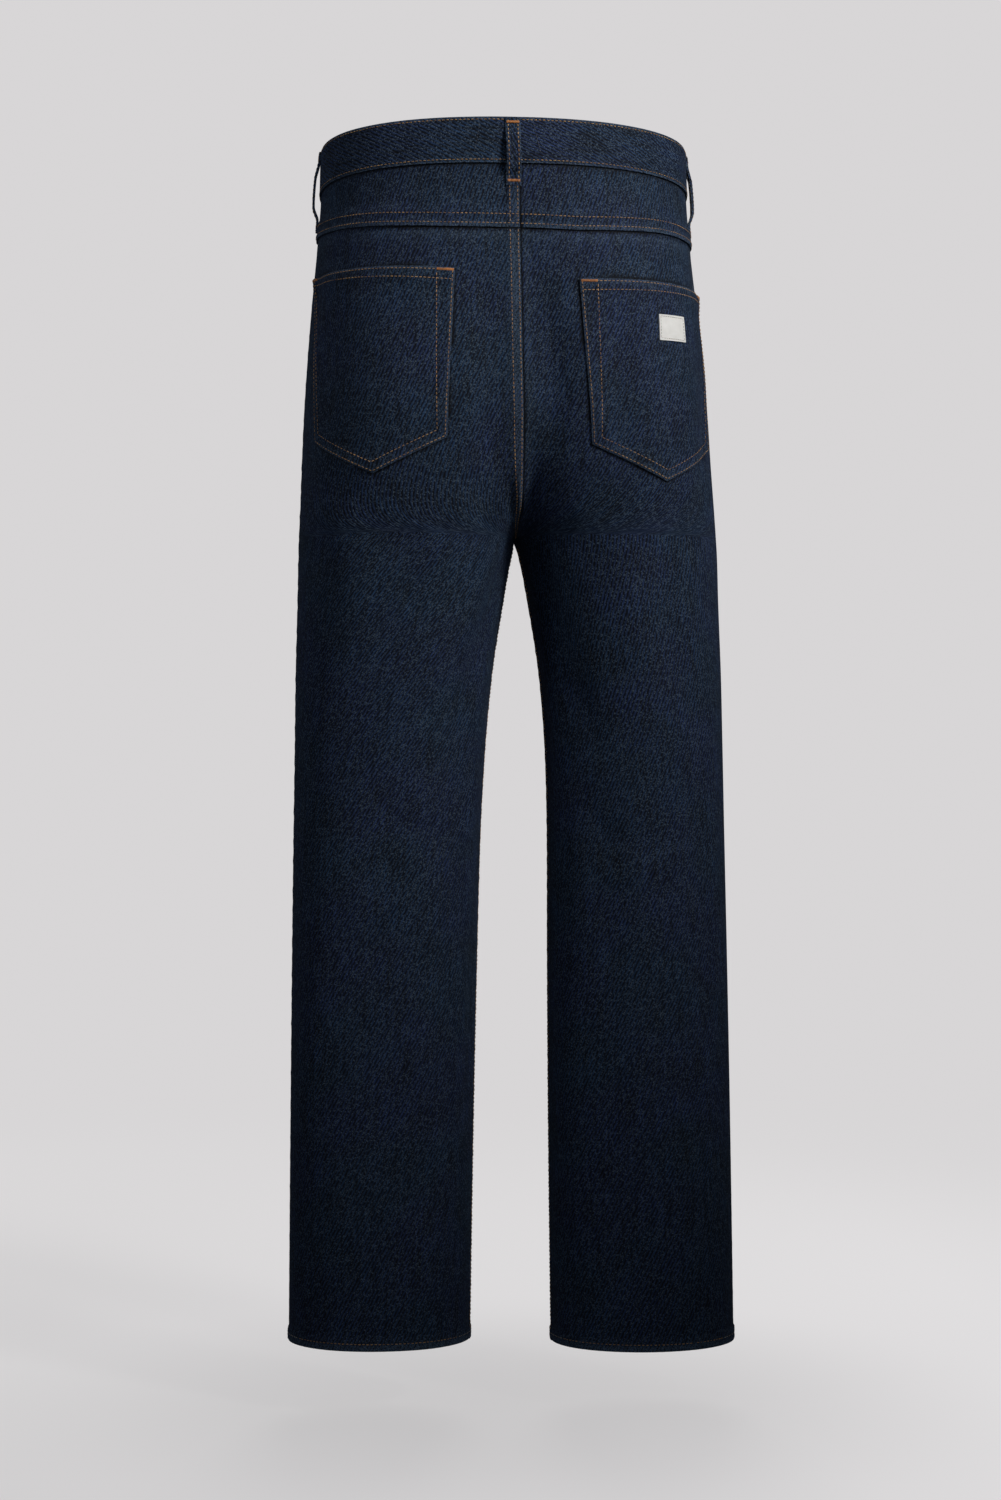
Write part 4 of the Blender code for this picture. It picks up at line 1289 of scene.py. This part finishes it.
def belt_loop(solid, sign, back, distance, low):
    share = np.linspace(0, 1, 56)
    side = np.array([-6.5, -6.35, -6.0, -5.4, -4.4, -3.2, -1.8, 0, 1.8, 3.2, 4.4, 5.4, 6.0,
                     6.35, 6.5])
    side, share = np.meshgrid(side, share)
    long = (LOOP_TOP - low) * share
    lift = 0.25 * near(np.abs(side), 5.2, 1.0) - 0.25 * near(np.abs(side), 6.5, 0.4)
    lift = lift - 0.22 * near(side, 0.0, 2.0) + 0.12 * ripple(long, 7.0, distance)
    side = side * (1 + 0.03 * np.sin(long / 9.0 + distance))
    lift = lift + 0.3 * near(share, 1.0, 0.03) - 0.4 * near(share, 0.0, 0.012)
    outer, normal = loop_point(sign, back, distance, low, share, side, lift)
    inner, _ = loop_point(sign, back, distance, low, share, side, lift * 0.2 - LOOP_THICK)
    cut = cut_map(side, -long, [4.1, distance * 0.01])
    wear_and_painted_shade = 0.75 * near(np.abs(side), 6.2, 1.4)
    made = shell(solid + "_strip", outer, inner, cut, wear_and_painted_shade, denim, denim)
    dress(made, solid, 0.0135, round((LOOP_TOP - low + LOOP_FOLDED_IN) * 0.001, 4))


for row in LOOPS:
    belt_loop(*row)

# %% [markdown]
# ## One stitch
#
# A lockstitch seen from the face is a short sausage of thread that dives into the
# cloth at both ends.  It is modelled once, with a few dozen faces, because there
# are thousands: a small cylinder, its caps drawn in and pushed down.

# %% Model a stitch
# Real machines set about three stitches to the centimetre in such thick thread.
STITCH_PITCH = 3.7
STITCH_LONG = 2.3
STITCH_WIDE = 0.64
STITCH_FLAT = 0.8
THREAD_RISE = 0.00026


def model_stitch():
    bpy.ops.object.select_all(action="DESELECT")
    bpy.ops.mesh.primitive_cylinder_add(vertices=6, radius=0.0005, depth=0.0016,
                                        end_fill_type="NGON",
                                        rotation=(0, math.radians(90), 0))
    made = bpy.context.active_object
    made.name = "stitch_pattern"
    bpy.ops.object.transform_apply(location=True, rotation=True, scale=True)
    for way in (-1, 1):
        bpy.ops.object.mode_set(mode="EDIT")
        bpy.ops.mesh.select_mode(type="FACE")
        bpy.ops.mesh.select_all(action="DESELECT")
        bpy.ops.object.mode_set(mode="OBJECT")
        for face in made.data.polygons:
            face.select = face.normal.x * way > 0.9
        bpy.ops.object.mode_set(mode="EDIT")
        bpy.ops.mesh.extrude_region_move(
            TRANSFORM_OT_translate={"value": (0.00058 * way, 0, -0.00016)})
        bpy.ops.transform.resize(value=(1, 0.82, 0.82))
        bpy.ops.mesh.extrude_region_move(
            TRANSFORM_OT_translate={"value": (0.00024 * way, 0, -0.00034)})
        bpy.ops.transform.resize(value=(1, 0.45, 0.45))
        bpy.ops.object.mode_set(mode="OBJECT")
    return made


pattern = model_stitch()
stitch_verts = np.array([v.co[:] for v in pattern.data.vertices])
stitch_verts = stitch_verts / np.ptp(stitch_verts, axis=0) * np.array([1, 1, STITCH_FLAT])
stitch_faces = [tuple(f.vertices) for f in pattern.data.polygons]
bpy.data.objects.remove(pattern, do_unlink=True)
print("one stitch:", len(stitch_faces), "faces")

# %% [markdown]
# ## Sewing
#
# A row of stitches is a line on the garment, walked at the machine's pitch.  Every
# copy turns along the row, leans and sinks by its own small amount, and lies on
# the lift of the piece it holds.  Rows of one kind are joined in one mesh.

# %% Sewing functions
dice = np.random.default_rng(11)


def walk(points, normals, pitch):
    """Middles, directions and normals of the stitches along a line, in metres."""
    step = np.linalg.norm(np.diff(points, axis=0), axis=1)
    run = np.concatenate([[0], np.cumsum(step)])
    count = max(1, int(run[-1] / pitch))
    at = (np.arange(count) + 0.5) * run[-1] / count

    def along_run(values, where):
        return np.stack([np.interp(where, run, values[:, k]) for k in range(3)], -1)

    way = along_run(points, at + pitch * 0.4) - along_run(points, at - pitch * 0.4)
    return along_run(points, at), way, along_run(normals, at)


def unit(vectors):
    return vectors / np.linalg.norm(vectors, axis=1, keepdims=True)


def lay_stitches(rows, long=STITCH_LONG, wide=STITCH_WIDE, pitch=STITCH_PITCH, cross=False):
    """Vertices and faces of every stitch of some rows, each (points, normals)."""
    all_verts, all_faces, base = [], [], 0
    for points, normals in rows:
        middle, along, out = walk(points, normals, pitch * 0.001)
        along, out = unit(along), unit(out)
        side = unit(np.cross(out, along))
        if cross:
            along, side = side, -along
        turn = np.radians(dice.normal(0.0, 3.0, len(middle)))[:, None]
        along, side = (along * np.cos(turn) + side * np.sin(turn),
                       side * np.cos(turn) - along * np.sin(turn))
        size = dice.uniform(0.92, 1.06, (len(middle), 1, 1)) * 0.001
        sink = dice.normal(0.0, 0.05, (len(middle), 1)) * 0.001
        local = stitch_verts[None] * np.array([long, wide, wide])
        verts = (local[..., :1] * along[:, None] + local[..., 1:2] * side[:, None]
                 + local[..., 2:] * out[:, None]) * size
        verts = verts + (middle + out * (sink + THREAD_RISE))[:, None]
        all_verts.append(verts.reshape(-1, 3))
        for number in range(len(middle)):
            shift = base + number * len(stitch_verts)
            all_faces.extend([tuple(v + shift for v in face) for face in stitch_faces])
        base += len(middle) * len(stitch_verts)
    return np.concatenate(all_verts), all_faces


def sew(name, rows, thread, **how):
    verts, faces = lay_stitches(rows, **how)
    mesh = bpy.data.meshes.new(name)
    mesh.from_pydata(verts.tolist(), [], faces)
    mesh.materials.append(thread)
    made = put_in_scene(name, mesh)
    bpy.ops.object.mode_set(mode="EDIT")
    bpy.ops.mesh.select_all(action="SELECT")
    bpy.ops.mesh.normals_make_consistent(inside=False)
    bpy.ops.object.mode_set(mode="OBJECT")
    bpy.ops.object.shade_smooth()
    made.select_set(False)
    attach(made, "root")
    print(name, len(faces) // len(stitch_faces), "stitches")


def on_panel(sign, level, distance, back, lift):
    return garment(sign, level, distance, back, lift(sign, level, distance))


def line(sign, start, stop, lift, back=True, count=60):
    """A straight row between two (distance, level) points of a panel."""
    t = np.linspace(0, 1, count)
    distance = start[0] + (stop[0] - start[0]) * t
    level = start[1] + (stop[1] - start[1]) * t
    return on_panel(sign, level, distance, back, lift)


def only(points, chosen):
    """The part of a row that is chosen."""
    return points[0][chosen], points[1][chosen]


def polyline(sign, corners, lift):
    """Rows from corner to corner."""
    return [line(sign, start, stop, lift) for start, stop in zip(corners, corners[1:])]


print("needle set at", STITCH_PITCH, "mm")

# %% [markdown]
# ## Rows round the waist, yoke and seat
#
# Two rows hold the band: one just under its top edge and one just over its lower
# edge.  The yoke and the seat seam have the twin rows of a two-needle machine,
# 7 mm apart.

# %% Sew waist, yoke and seat
BAND_ROWS = (-2.6, -38.2)
YOKE_ROWS = (0.9, 8.6)
SEAT_ROWS = (1.6, 8.4)


def rise_levels(top, end):
    """Levels down the rise seam, closer together in the curve to the crotch."""
    return np.concatenate([np.linspace(top, -320.0, 120), np.linspace(-321.0, end, 60)])


def waist_rows():
    end = HALF_RING + BAND_LAP - 2
    whole = np.linspace(-end, end, 620)
    rows = []
    for level in BAND_ROWS:
        points = ring(whole, level, band_lift(whole, level))
        rows.append(only(points, whole > -HALF_RING + BAND_LAP + 3))
    level, along = np.linspace(*BAND_ROWS, 20), np.full(20, end)
    return rows + [ring(along, level, band_lift(along, level))]


def yoke_rows():
    rows = []
    for sign in (1, -1):
        start = -SEAT_LAP + 0.4 if sign > 0 else SEAT_LAP + 0.5
        for over in YOKE_ROWS:
            distance = np.linspace(start, outer_seam(sign, -82.0) - 1.0, 160)
            level = yoke_level(sign, np.abs(distance)) + over
            rows.append(on_panel(sign, level, distance, True, yoke_lift))
    return rows


def seat_rows():
    rows = []
    above = np.linspace(BAND_LOW - 1.0, -92.0, 40)
    below = rise_levels(-97.0, -353.5)
    for inset in SEAT_ROWS:
        rows.append(on_panel(1, above, np.full(above.shape, inset - SEAT_LAP), True, yoke_lift))
        rows.append(on_panel(1, below, inset - lap(below), True, back_lift))
    return rows


sew("waistband_stitches", waist_rows(), gold_thread)
sew("yoke_stitches", yoke_rows(), gold_thread)
sew("seat_seam_stitches", seat_rows(), gold_thread)

# %% [markdown]
# ## Rows of the back pockets and label
#
# The hem of the pocket's opening has two rows 8 mm apart.  The outer row of the
# sides follows the edge; the inner one starts 14 mm in at the top of the inner
# side and closes up towards the bottom, a maker's way to strengthen the mouth.

# %% Sew pockets
# Insets from the five edges: top, outer side, outer bottom, inner bottom, inner side.
EDGE_ROW = (2.0, 2.0, 2.0, 2.0, 2.0)
SECOND_ROW = (10.0, 8.0, 9.0, 9.0, 9.0)
TACK_LINE = (1.9, 1.2, 2.0, 2.0, 1.2)
SECOND_FROM = (14.0, -2.0)
SECOND_UNTIL = (3.0, 8.0)


def inset_corners(sign, insets):
    """Corners of the shield drawn in by a distance from each of its five edges."""
    corners = [np.array(c, float) for c in pocket_outline(sign)]
    moved = []
    for k in range(5):
        before, here, after = corners[k - 1], corners[k], corners[(k + 1) % 5]
        lines = []
        for start, stop, inset in ((before, here, insets[k - 1]), (here, after, insets[k])):
            run = (stop - start) / np.linalg.norm(stop - start)
            inward = np.array([run[1], -run[0]])
            lines.append((start + inward * inset, run))
        (p, r), (q, w) = lines
        t = np.cross(q - p, w) / np.cross(r, w)
        moved.append(p + r * t)
    return moved


def pocket_rows(sign):
    outer, inner = inset_corners(sign, EDGE_ROW), inset_corners(sign, SECOND_ROW)
    mouth_in = outer[0] * 0.945 + outer[4] * 0.055
    mouth_out = outer[1] * 0.965 + outer[2] * 0.035
    second = [outer[0] + np.array(SECOND_FROM), inner[4], inner[3], inner[2],
              inner[1] + np.array(SECOND_UNTIL)]
    return (polyline(sign, outer + outer[:1], pocket_lift)
            + [line(sign, mouth_in, mouth_out, pocket_lift)]
            + polyline(sign, second, pocket_lift))


def label_lift(sign, level, distance):
    return pocket_lift(sign, level, distance) + 0.75


def label_rows():
    start, stop = LABEL["near"] + LABEL_INSET, LABEL["far"] - LABEL_INSET
    top, low = LABEL["top"] - LABEL_INSET, LABEL["low"] + LABEL_INSET
    corners = [(start, top), (stop, top), (stop, low), (start, low), (start, top)]
    return polyline(-1, corners, label_lift)


sew("back_pocket_stitches", pocket_rows(1) + pocket_rows(-1), gold_thread)
sew("label_stitches", label_rows(), pale_thread, long=2.0, wide=0.4, pitch=2.5)

# %% [markdown]
# ## Rows of the front, the inseams and the hems
#
# The fly has its twin J-shaped rows on the left front and a single row down the
# edge, the scoops have two rows, and the hem one.  The hem thread has been rubbed
# and rinsed pale where it turns round the leg, so it is a colour of its own there.

# %% Sew front and legs
FLY_ROWS = ((FLY_WIDE, -188.0), (FLY_WIDE - 6.5, -181.5))
FLY_TURN, FLY_STRAIGHT = 34, 0.62
INSEAM_ROWS = (1.7, 8.0)
HEM_ROW = 6.6
# The faded ends of the hem's thread, from the inseam and from the outseam.
FADED_IN, FADED_OUT = 34, 48


def fly_row(wide, low):
    """Down from the band, then round in a J to the seam."""
    bend = np.linspace(0, 1, 70)
    top = BAND_LOW - 1
    straight = bend < FLY_STRAIGHT
    turn = np.clip((bend - FLY_STRAIGHT) / (1 - FLY_STRAIGHT), 0, 1) * math.pi / 2
    level = np.where(straight, top + (low + FLY_TURN - top) * bend / FLY_STRAIGHT,
                     low + FLY_TURN - FLY_TURN * np.sin(turn))
    distance = np.where(straight, wide, (wide - 2) * np.cos(turn) + 2)
    return on_panel(1, level, distance, False, front_lift)


def front_rise_rows():
    rows = []
    level = rise_levels(BAND_LOW - 1, -353.0)
    for inset, top in ((1.6, BAND_LOW), (8.2, -190.0)):
        low = level[level < top]
        rows.append(on_panel(1, low, inset - lap(low), False, front_lift))
    return rows


def scoop_row(sign, below, start):
    share = np.linspace(start, 0.995, 120)
    level = scoop_level(np.clip(share, SCOOP_FROM, 1)) - below
    level = np.minimum(level, BAND_LOW - 1.5)
    distance = outer_seam(sign, level, False) * share
    keep = level < BAND_LOW - 1.6
    return on_panel(sign, level[keep], distance[keep], False, front_lift)


def inseam_rows(sign):
    level = np.linspace(CROTCH - 6.0, HEM[sign] + 9.0, 400)
    return [on_panel(sign, level, inner_seam(sign, level) + inset, True, back_lift)
            for inset in INSEAM_ROWS]


def hem_rows(sign):
    """The gold middle and the faded ends of the hem's row, on back and front."""
    gold, faded = [], []
    level = HEM[sign] + HEM_ROW
    for back, lift in ((True, back_lift), (False, front_lift)):
        start, stop = inner_seam(sign, level, back), outer_seam(sign, level, back)
        distance = np.linspace(start + 1, stop - 1, 180)
        points = on_panel(sign, np.full(180, level), distance, back, lift)
        first, last = distance <= start + FADED_IN, distance >= stop - FADED_OUT
        gold.append(only(points, ~(first | last)))
        faded.extend([only(points, first), only(points, last)])
    return gold, faded


front_rows = [fly_row(wide, low) for wide, low in FLY_ROWS] + front_rise_rows()
leg_rows, faded_rows = [], []
for sign in (1, -1):
    front_rows.append(scoop_row(sign, 2.0, SCOOP_FROM + 0.004))
    front_rows.append(scoop_row(sign, 9.0, SCOOP_FROM - 0.045))
    gold, faded = hem_rows(sign)
    leg_rows.extend(inseam_rows(sign) + gold)
    faded_rows.extend(faded)
sew("front_stitches", front_rows, gold_thread)
sew("leg_stitches", leg_rows, gold_thread)
sew("hem_stitches_faded", faded_rows, pale_thread)

# %% [markdown]
# ## Loops and bar tacks
#
# Bar tacks are the dense orange bars at every point of strain: both ends of each
# belt loop, the corners of the back pockets, the fly and the front pockets.  The
# machine lays the thread crosswise, half a millimetre apart, over a core.

# %% Sew loops and tacks
LOOP_ROW = 4.3
TACK_WIDE = 5.6
MOUTH_TACK_IN, MOUTH_TACK_OUT = 14.5, 10.0


def short(sign, start, stop, back, lift):
    """The line of one bar tack."""
    return line(sign, start, stop, lift, back, 12)


rows, tacks = [], []
for solid, sign, back, distance, low in LOOPS:
    place = (sign, back, distance, low)
    for side in (-LOOP_ROW, LOOP_ROW):
        rows.append(loop_point(*place, np.linspace(0.03, 0.97, 60), side, 0.05))
    bar = np.linspace(-TACK_WIDE, TACK_WIDE, 12)
    for at in (0.075, 1 - 0.075 * 60 / (LOOP_TOP - low)):
        tacks.append(loop_point(*place, np.full(12, at), bar, 0.15))
for sign in (1, -1):
    mouth_in, mouth_out = inset_corners(sign, TACK_LINE)[:2]
    mouth = (mouth_out - mouth_in) / np.linalg.norm(mouth_out - mouth_in)
    tacks.append(short(sign, mouth_in, mouth_in + MOUTH_TACK_IN * mouth, True, pocket_lift))
    tacks.append(short(sign, mouth_out, mouth_out - MOUTH_TACK_OUT * mouth, True,
                       pocket_lift))
    for share, below in ((SCOOP_FROM + 0.01, 7.0), (0.965, 6.0)):
        level = min(scoop_level(share) - below, BAND_LOW - 3.0)
        place = outer_seam(sign, level, False) * share
        tacks.append(short(sign, (place, level), (place - 0.5, level - 10.0), False,
                           front_lift))
tacks.append(short(1, (1.0, -196.0), (1.0, -208.0), False, front_lift))
tacks.append(short(1, (FLY_WIDE - 12, -181.0), (FLY_WIDE - 17, -190.0), False, front_lift))
sew("belt_loop_stitches", rows, gold_thread, wide=0.8)
sew("bar_tacks", tacks, tack_thread, long=2.3, wide=0.72, pitch=0.6, cross=True)

# The size label inside the band is held by a tonal row at each end.
level = np.linspace(-6.5, -31.5, 30)
rows = []
for end in (33.0, -19.5):
    along = np.full(30, end)
    rows.append(ring(along, level, band_lift(along, level)))
sew("band_label_stitches", rows, navy_thread, long=2.4, wide=0.5, pitch=2.8)

# %% [markdown]
# ## Buttonhole and button
#
# The buttonhole is worked with close thread round an eye under the button.  The
# button itself is the solid of the frame, given its antique brass finish.

# %% Button
turn = np.linspace(0, 2 * math.pi, 60)
along = HALF_RING + 4.2 * np.cos(turn) + 7.0 * np.clip(np.cos(turn), 0, 1)
level = BAND_MIDDLE + 3.4 * np.sin(turn)
sew("buttonhole_stitches", [ring(along, level, band_lift(along, level))], gold_thread,
    long=2.6, wide=0.62, pitch=0.62, cross=True)

button = bpy.data.objects["waist_button"]
button.data.materials.clear()
button.data.materials.append(brass)
print("button triangles", len(button.data.polygons))

# %% [markdown]
# ## Floor and light
#
# A pale paper sweep goes round the whole set, so the garment has the same plain
# ground from every side.  The paper glows a little, as if lit on its own, and it
# doesn't light the cloth.  Its glow is lowered under the garment as a painted
# shadow, and raised towards the key lamp's side as painted light.

# %% Sweep
FLOOR_LEVEL = -1.146
FLOOR_RADIUS = 2.6
CURVE_STEPS = 12
CURVE_RISE = 0.24
WALL_RISE = 3.2


def paper_material():
    material, tree = new_material("paper_sweep_matt")
    place = object_place(tree)
    level_out = moved(tree, place, Scale=(1, 1, 0))
    far = node(tree, "ShaderNodeVectorMath", {"operation": "LENGTH"},
               {0: level_out}).outputs["Value"]
    catches = spread(tree, far, 0.7, 2.3, 0.24, 0.0)
    lit = spread(tree, far, 0.7, 2.3, 0.89, 1.03)
    # Painted shadow: the glow is lowered under the garment.
    under = spread(tree, far, 0.12, 0.52, 0.865, 1.0)
    apart = node(tree, "ShaderNodeSeparateXYZ", None, {"Vector": place})
    # Painted light: the glow is raised towards the key lamp's side, less so far away.
    painted_light_slant = spread(tree, apart.outputs["X"], -0.55, 0.45, 0.13, -0.05, "LINEAR")
    nearby = spread(tree, far, 0.5, 1.8, 1.0, 0.0)
    painted_light_lean = maths(tree, "MULTIPLY_ADD", painted_light_slant, nearby, 1.0)
    glow_with_painted_shadow = maths(tree, "MULTIPLY", lit, under)
    glow = node(tree, "ShaderNodeEmission", None,
                {"Color": linear("D5D3D4"),
                 "Strength": maths(tree, "MULTIPLY", glow_with_painted_shadow, painted_light_lean)})
    matt = node(tree, "ShaderNodeBsdfDiffuse", None, {"Color": catches})
    finished(tree, node(tree, "ShaderNodeAddShader", None,
                        {0: glow.outputs[0], 1: matt.outputs[0]}))
    return material


def paper_circle(name):
    bpy.ops.object.select_all(action="DESELECT")
    bpy.ops.mesh.primitive_circle_add(vertices=96, radius=FLOOR_RADIUS, fill_type="NGON",
                                      location=(0, 0, FLOOR_LEVEL))
    made = bpy.context.active_object
    made.name = name
    return made


sweep = paper_circle("paper_sweep")
bpy.ops.object.mode_set(mode="EDIT")
bpy.ops.mesh.select_mode(type="EDGE")
bpy.ops.mesh.select_all(action="SELECT")
bpy.ops.mesh.delete(type="ONLY_FACE")
bpy.ops.mesh.select_all(action="SELECT")
for step in range(CURVE_STEPS):
    tilt = math.radians(90.0 / CURVE_STEPS * (step + 0.5))
    grow = 1.0 + 0.19 * math.cos(tilt) * FLOOR_RADIUS / (FLOOR_RADIUS + 0.15 * step)
    grow = 1.0 if step == CURVE_STEPS - 1 else min(grow, 1.075)
    bpy.ops.mesh.extrude_region_move(
        TRANSFORM_OT_translate={"value": (0, 0, CURVE_RISE * math.sin(tilt))})
    bpy.ops.transform.resize(value=(grow, grow, 1))
bpy.ops.mesh.extrude_region_move(TRANSFORM_OT_translate={"value": (0, 0, WALL_RISE)})
bpy.ops.object.mode_set(mode="OBJECT")
bpy.ops.object.transform_apply(location=True, rotation=True, scale=True)
floor = paper_circle("paper_floor")
bpy.ops.object.transform_apply(location=True, rotation=True, scale=True)
paper = paper_material()
for piece in (sweep, floor):
    piece.data.materials.append(paper)
    for face in piece.data.polygons:
        face.use_smooth = True
    piece.visible_diffuse = False
    piece.visible_glossy = False
    piece.visible_shadow = False
print("sweep rises to", round(max(v.co.z for v in sweep.data.vertices), 2), "m")

# %% [markdown]
# ## Lamps
#
# Dark denim needs light that rakes.  The key is a soft spot high on the right of the
# camera, aimed at the seat and fading before it reaches the hems; a weaker one below
# it carries some of the light down the thighs.  A cool spot from the left wraps the
# other leg, and broad weak lamps at the camera, at the front and overhead keep the
# shadows open.

# %% Hang the lamps
world = bpy.data.worlds.new("studio_dim")
bpy.context.scene.world = world
world.use_nodes = True
background = world.node_tree.nodes["Background"]
background.inputs["Color"].default_value = (0.80, 0.88, 1.0, 1)
background.inputs["Strength"].default_value = 0.055


def aim(made, target):
    way = np.array(target) - np.array(made.location)
    flat_run = math.hypot(way[0], way[1])
    made.rotation_euler = (math.atan2(flat_run, -way[2]), 0, math.atan2(-way[0], way[1]))


def lamp(name, kind, place, target, power, colour, **shape):
    data = bpy.data.lights.new(name, kind)
    data.energy = power
    data.color = colour
    for key, value in shape.items():
        setattr(data, key, value)
    made = bpy.data.objects.new(name, data)
    bpy.context.collection.objects.link(made)
    made.location = place
    aim(made, target)


def spot(name, place, target, power, colour, degrees, soft):
    lamp(name, "SPOT", place, target, power, colour, spot_size=math.radians(degrees),
         spot_blend=1.0, shadow_soft_size=soft)


def disk(name, place, target, power, colour, across):
    lamp(name, "AREA", place, target, power, colour, shape="DISK", size=across)


COOL = (0.93, 0.96, 1.0)
spot("key_right", (-1.80, 1.97, 1.20), (-0.06, 0.12, 0.01), 246, (1.0, 0.985, 0.96), 34, 0.30)
spot("key_low", (-1.60, 2.35, 0.45), (0.00, 0.10, -0.22), 24, (0.96, 0.98, 1.0), 38, 0.35)
disk("fill_camera", (0.5, 3.4, 0.2), (0, 0, -0.3), 4, COOL, 2.4)
disk("front_fill", (-0.4, -3.1, 1.0), (0, 0, -0.40), 40, (1.0, 0.98, 0.96), 1.6)
spot("left_wrap", (2.60, 1.20, 0.50), (0.12, 0.0, -0.22), 42, COOL, 38, 0.5)
disk("top_soft", (0, 0.0, 2.4), (0, 0.0, -1.0), 12, (1.0, 1.0, 1.0), 1.3)
bpy.context.scene.view_settings.view_transform = "Standard"
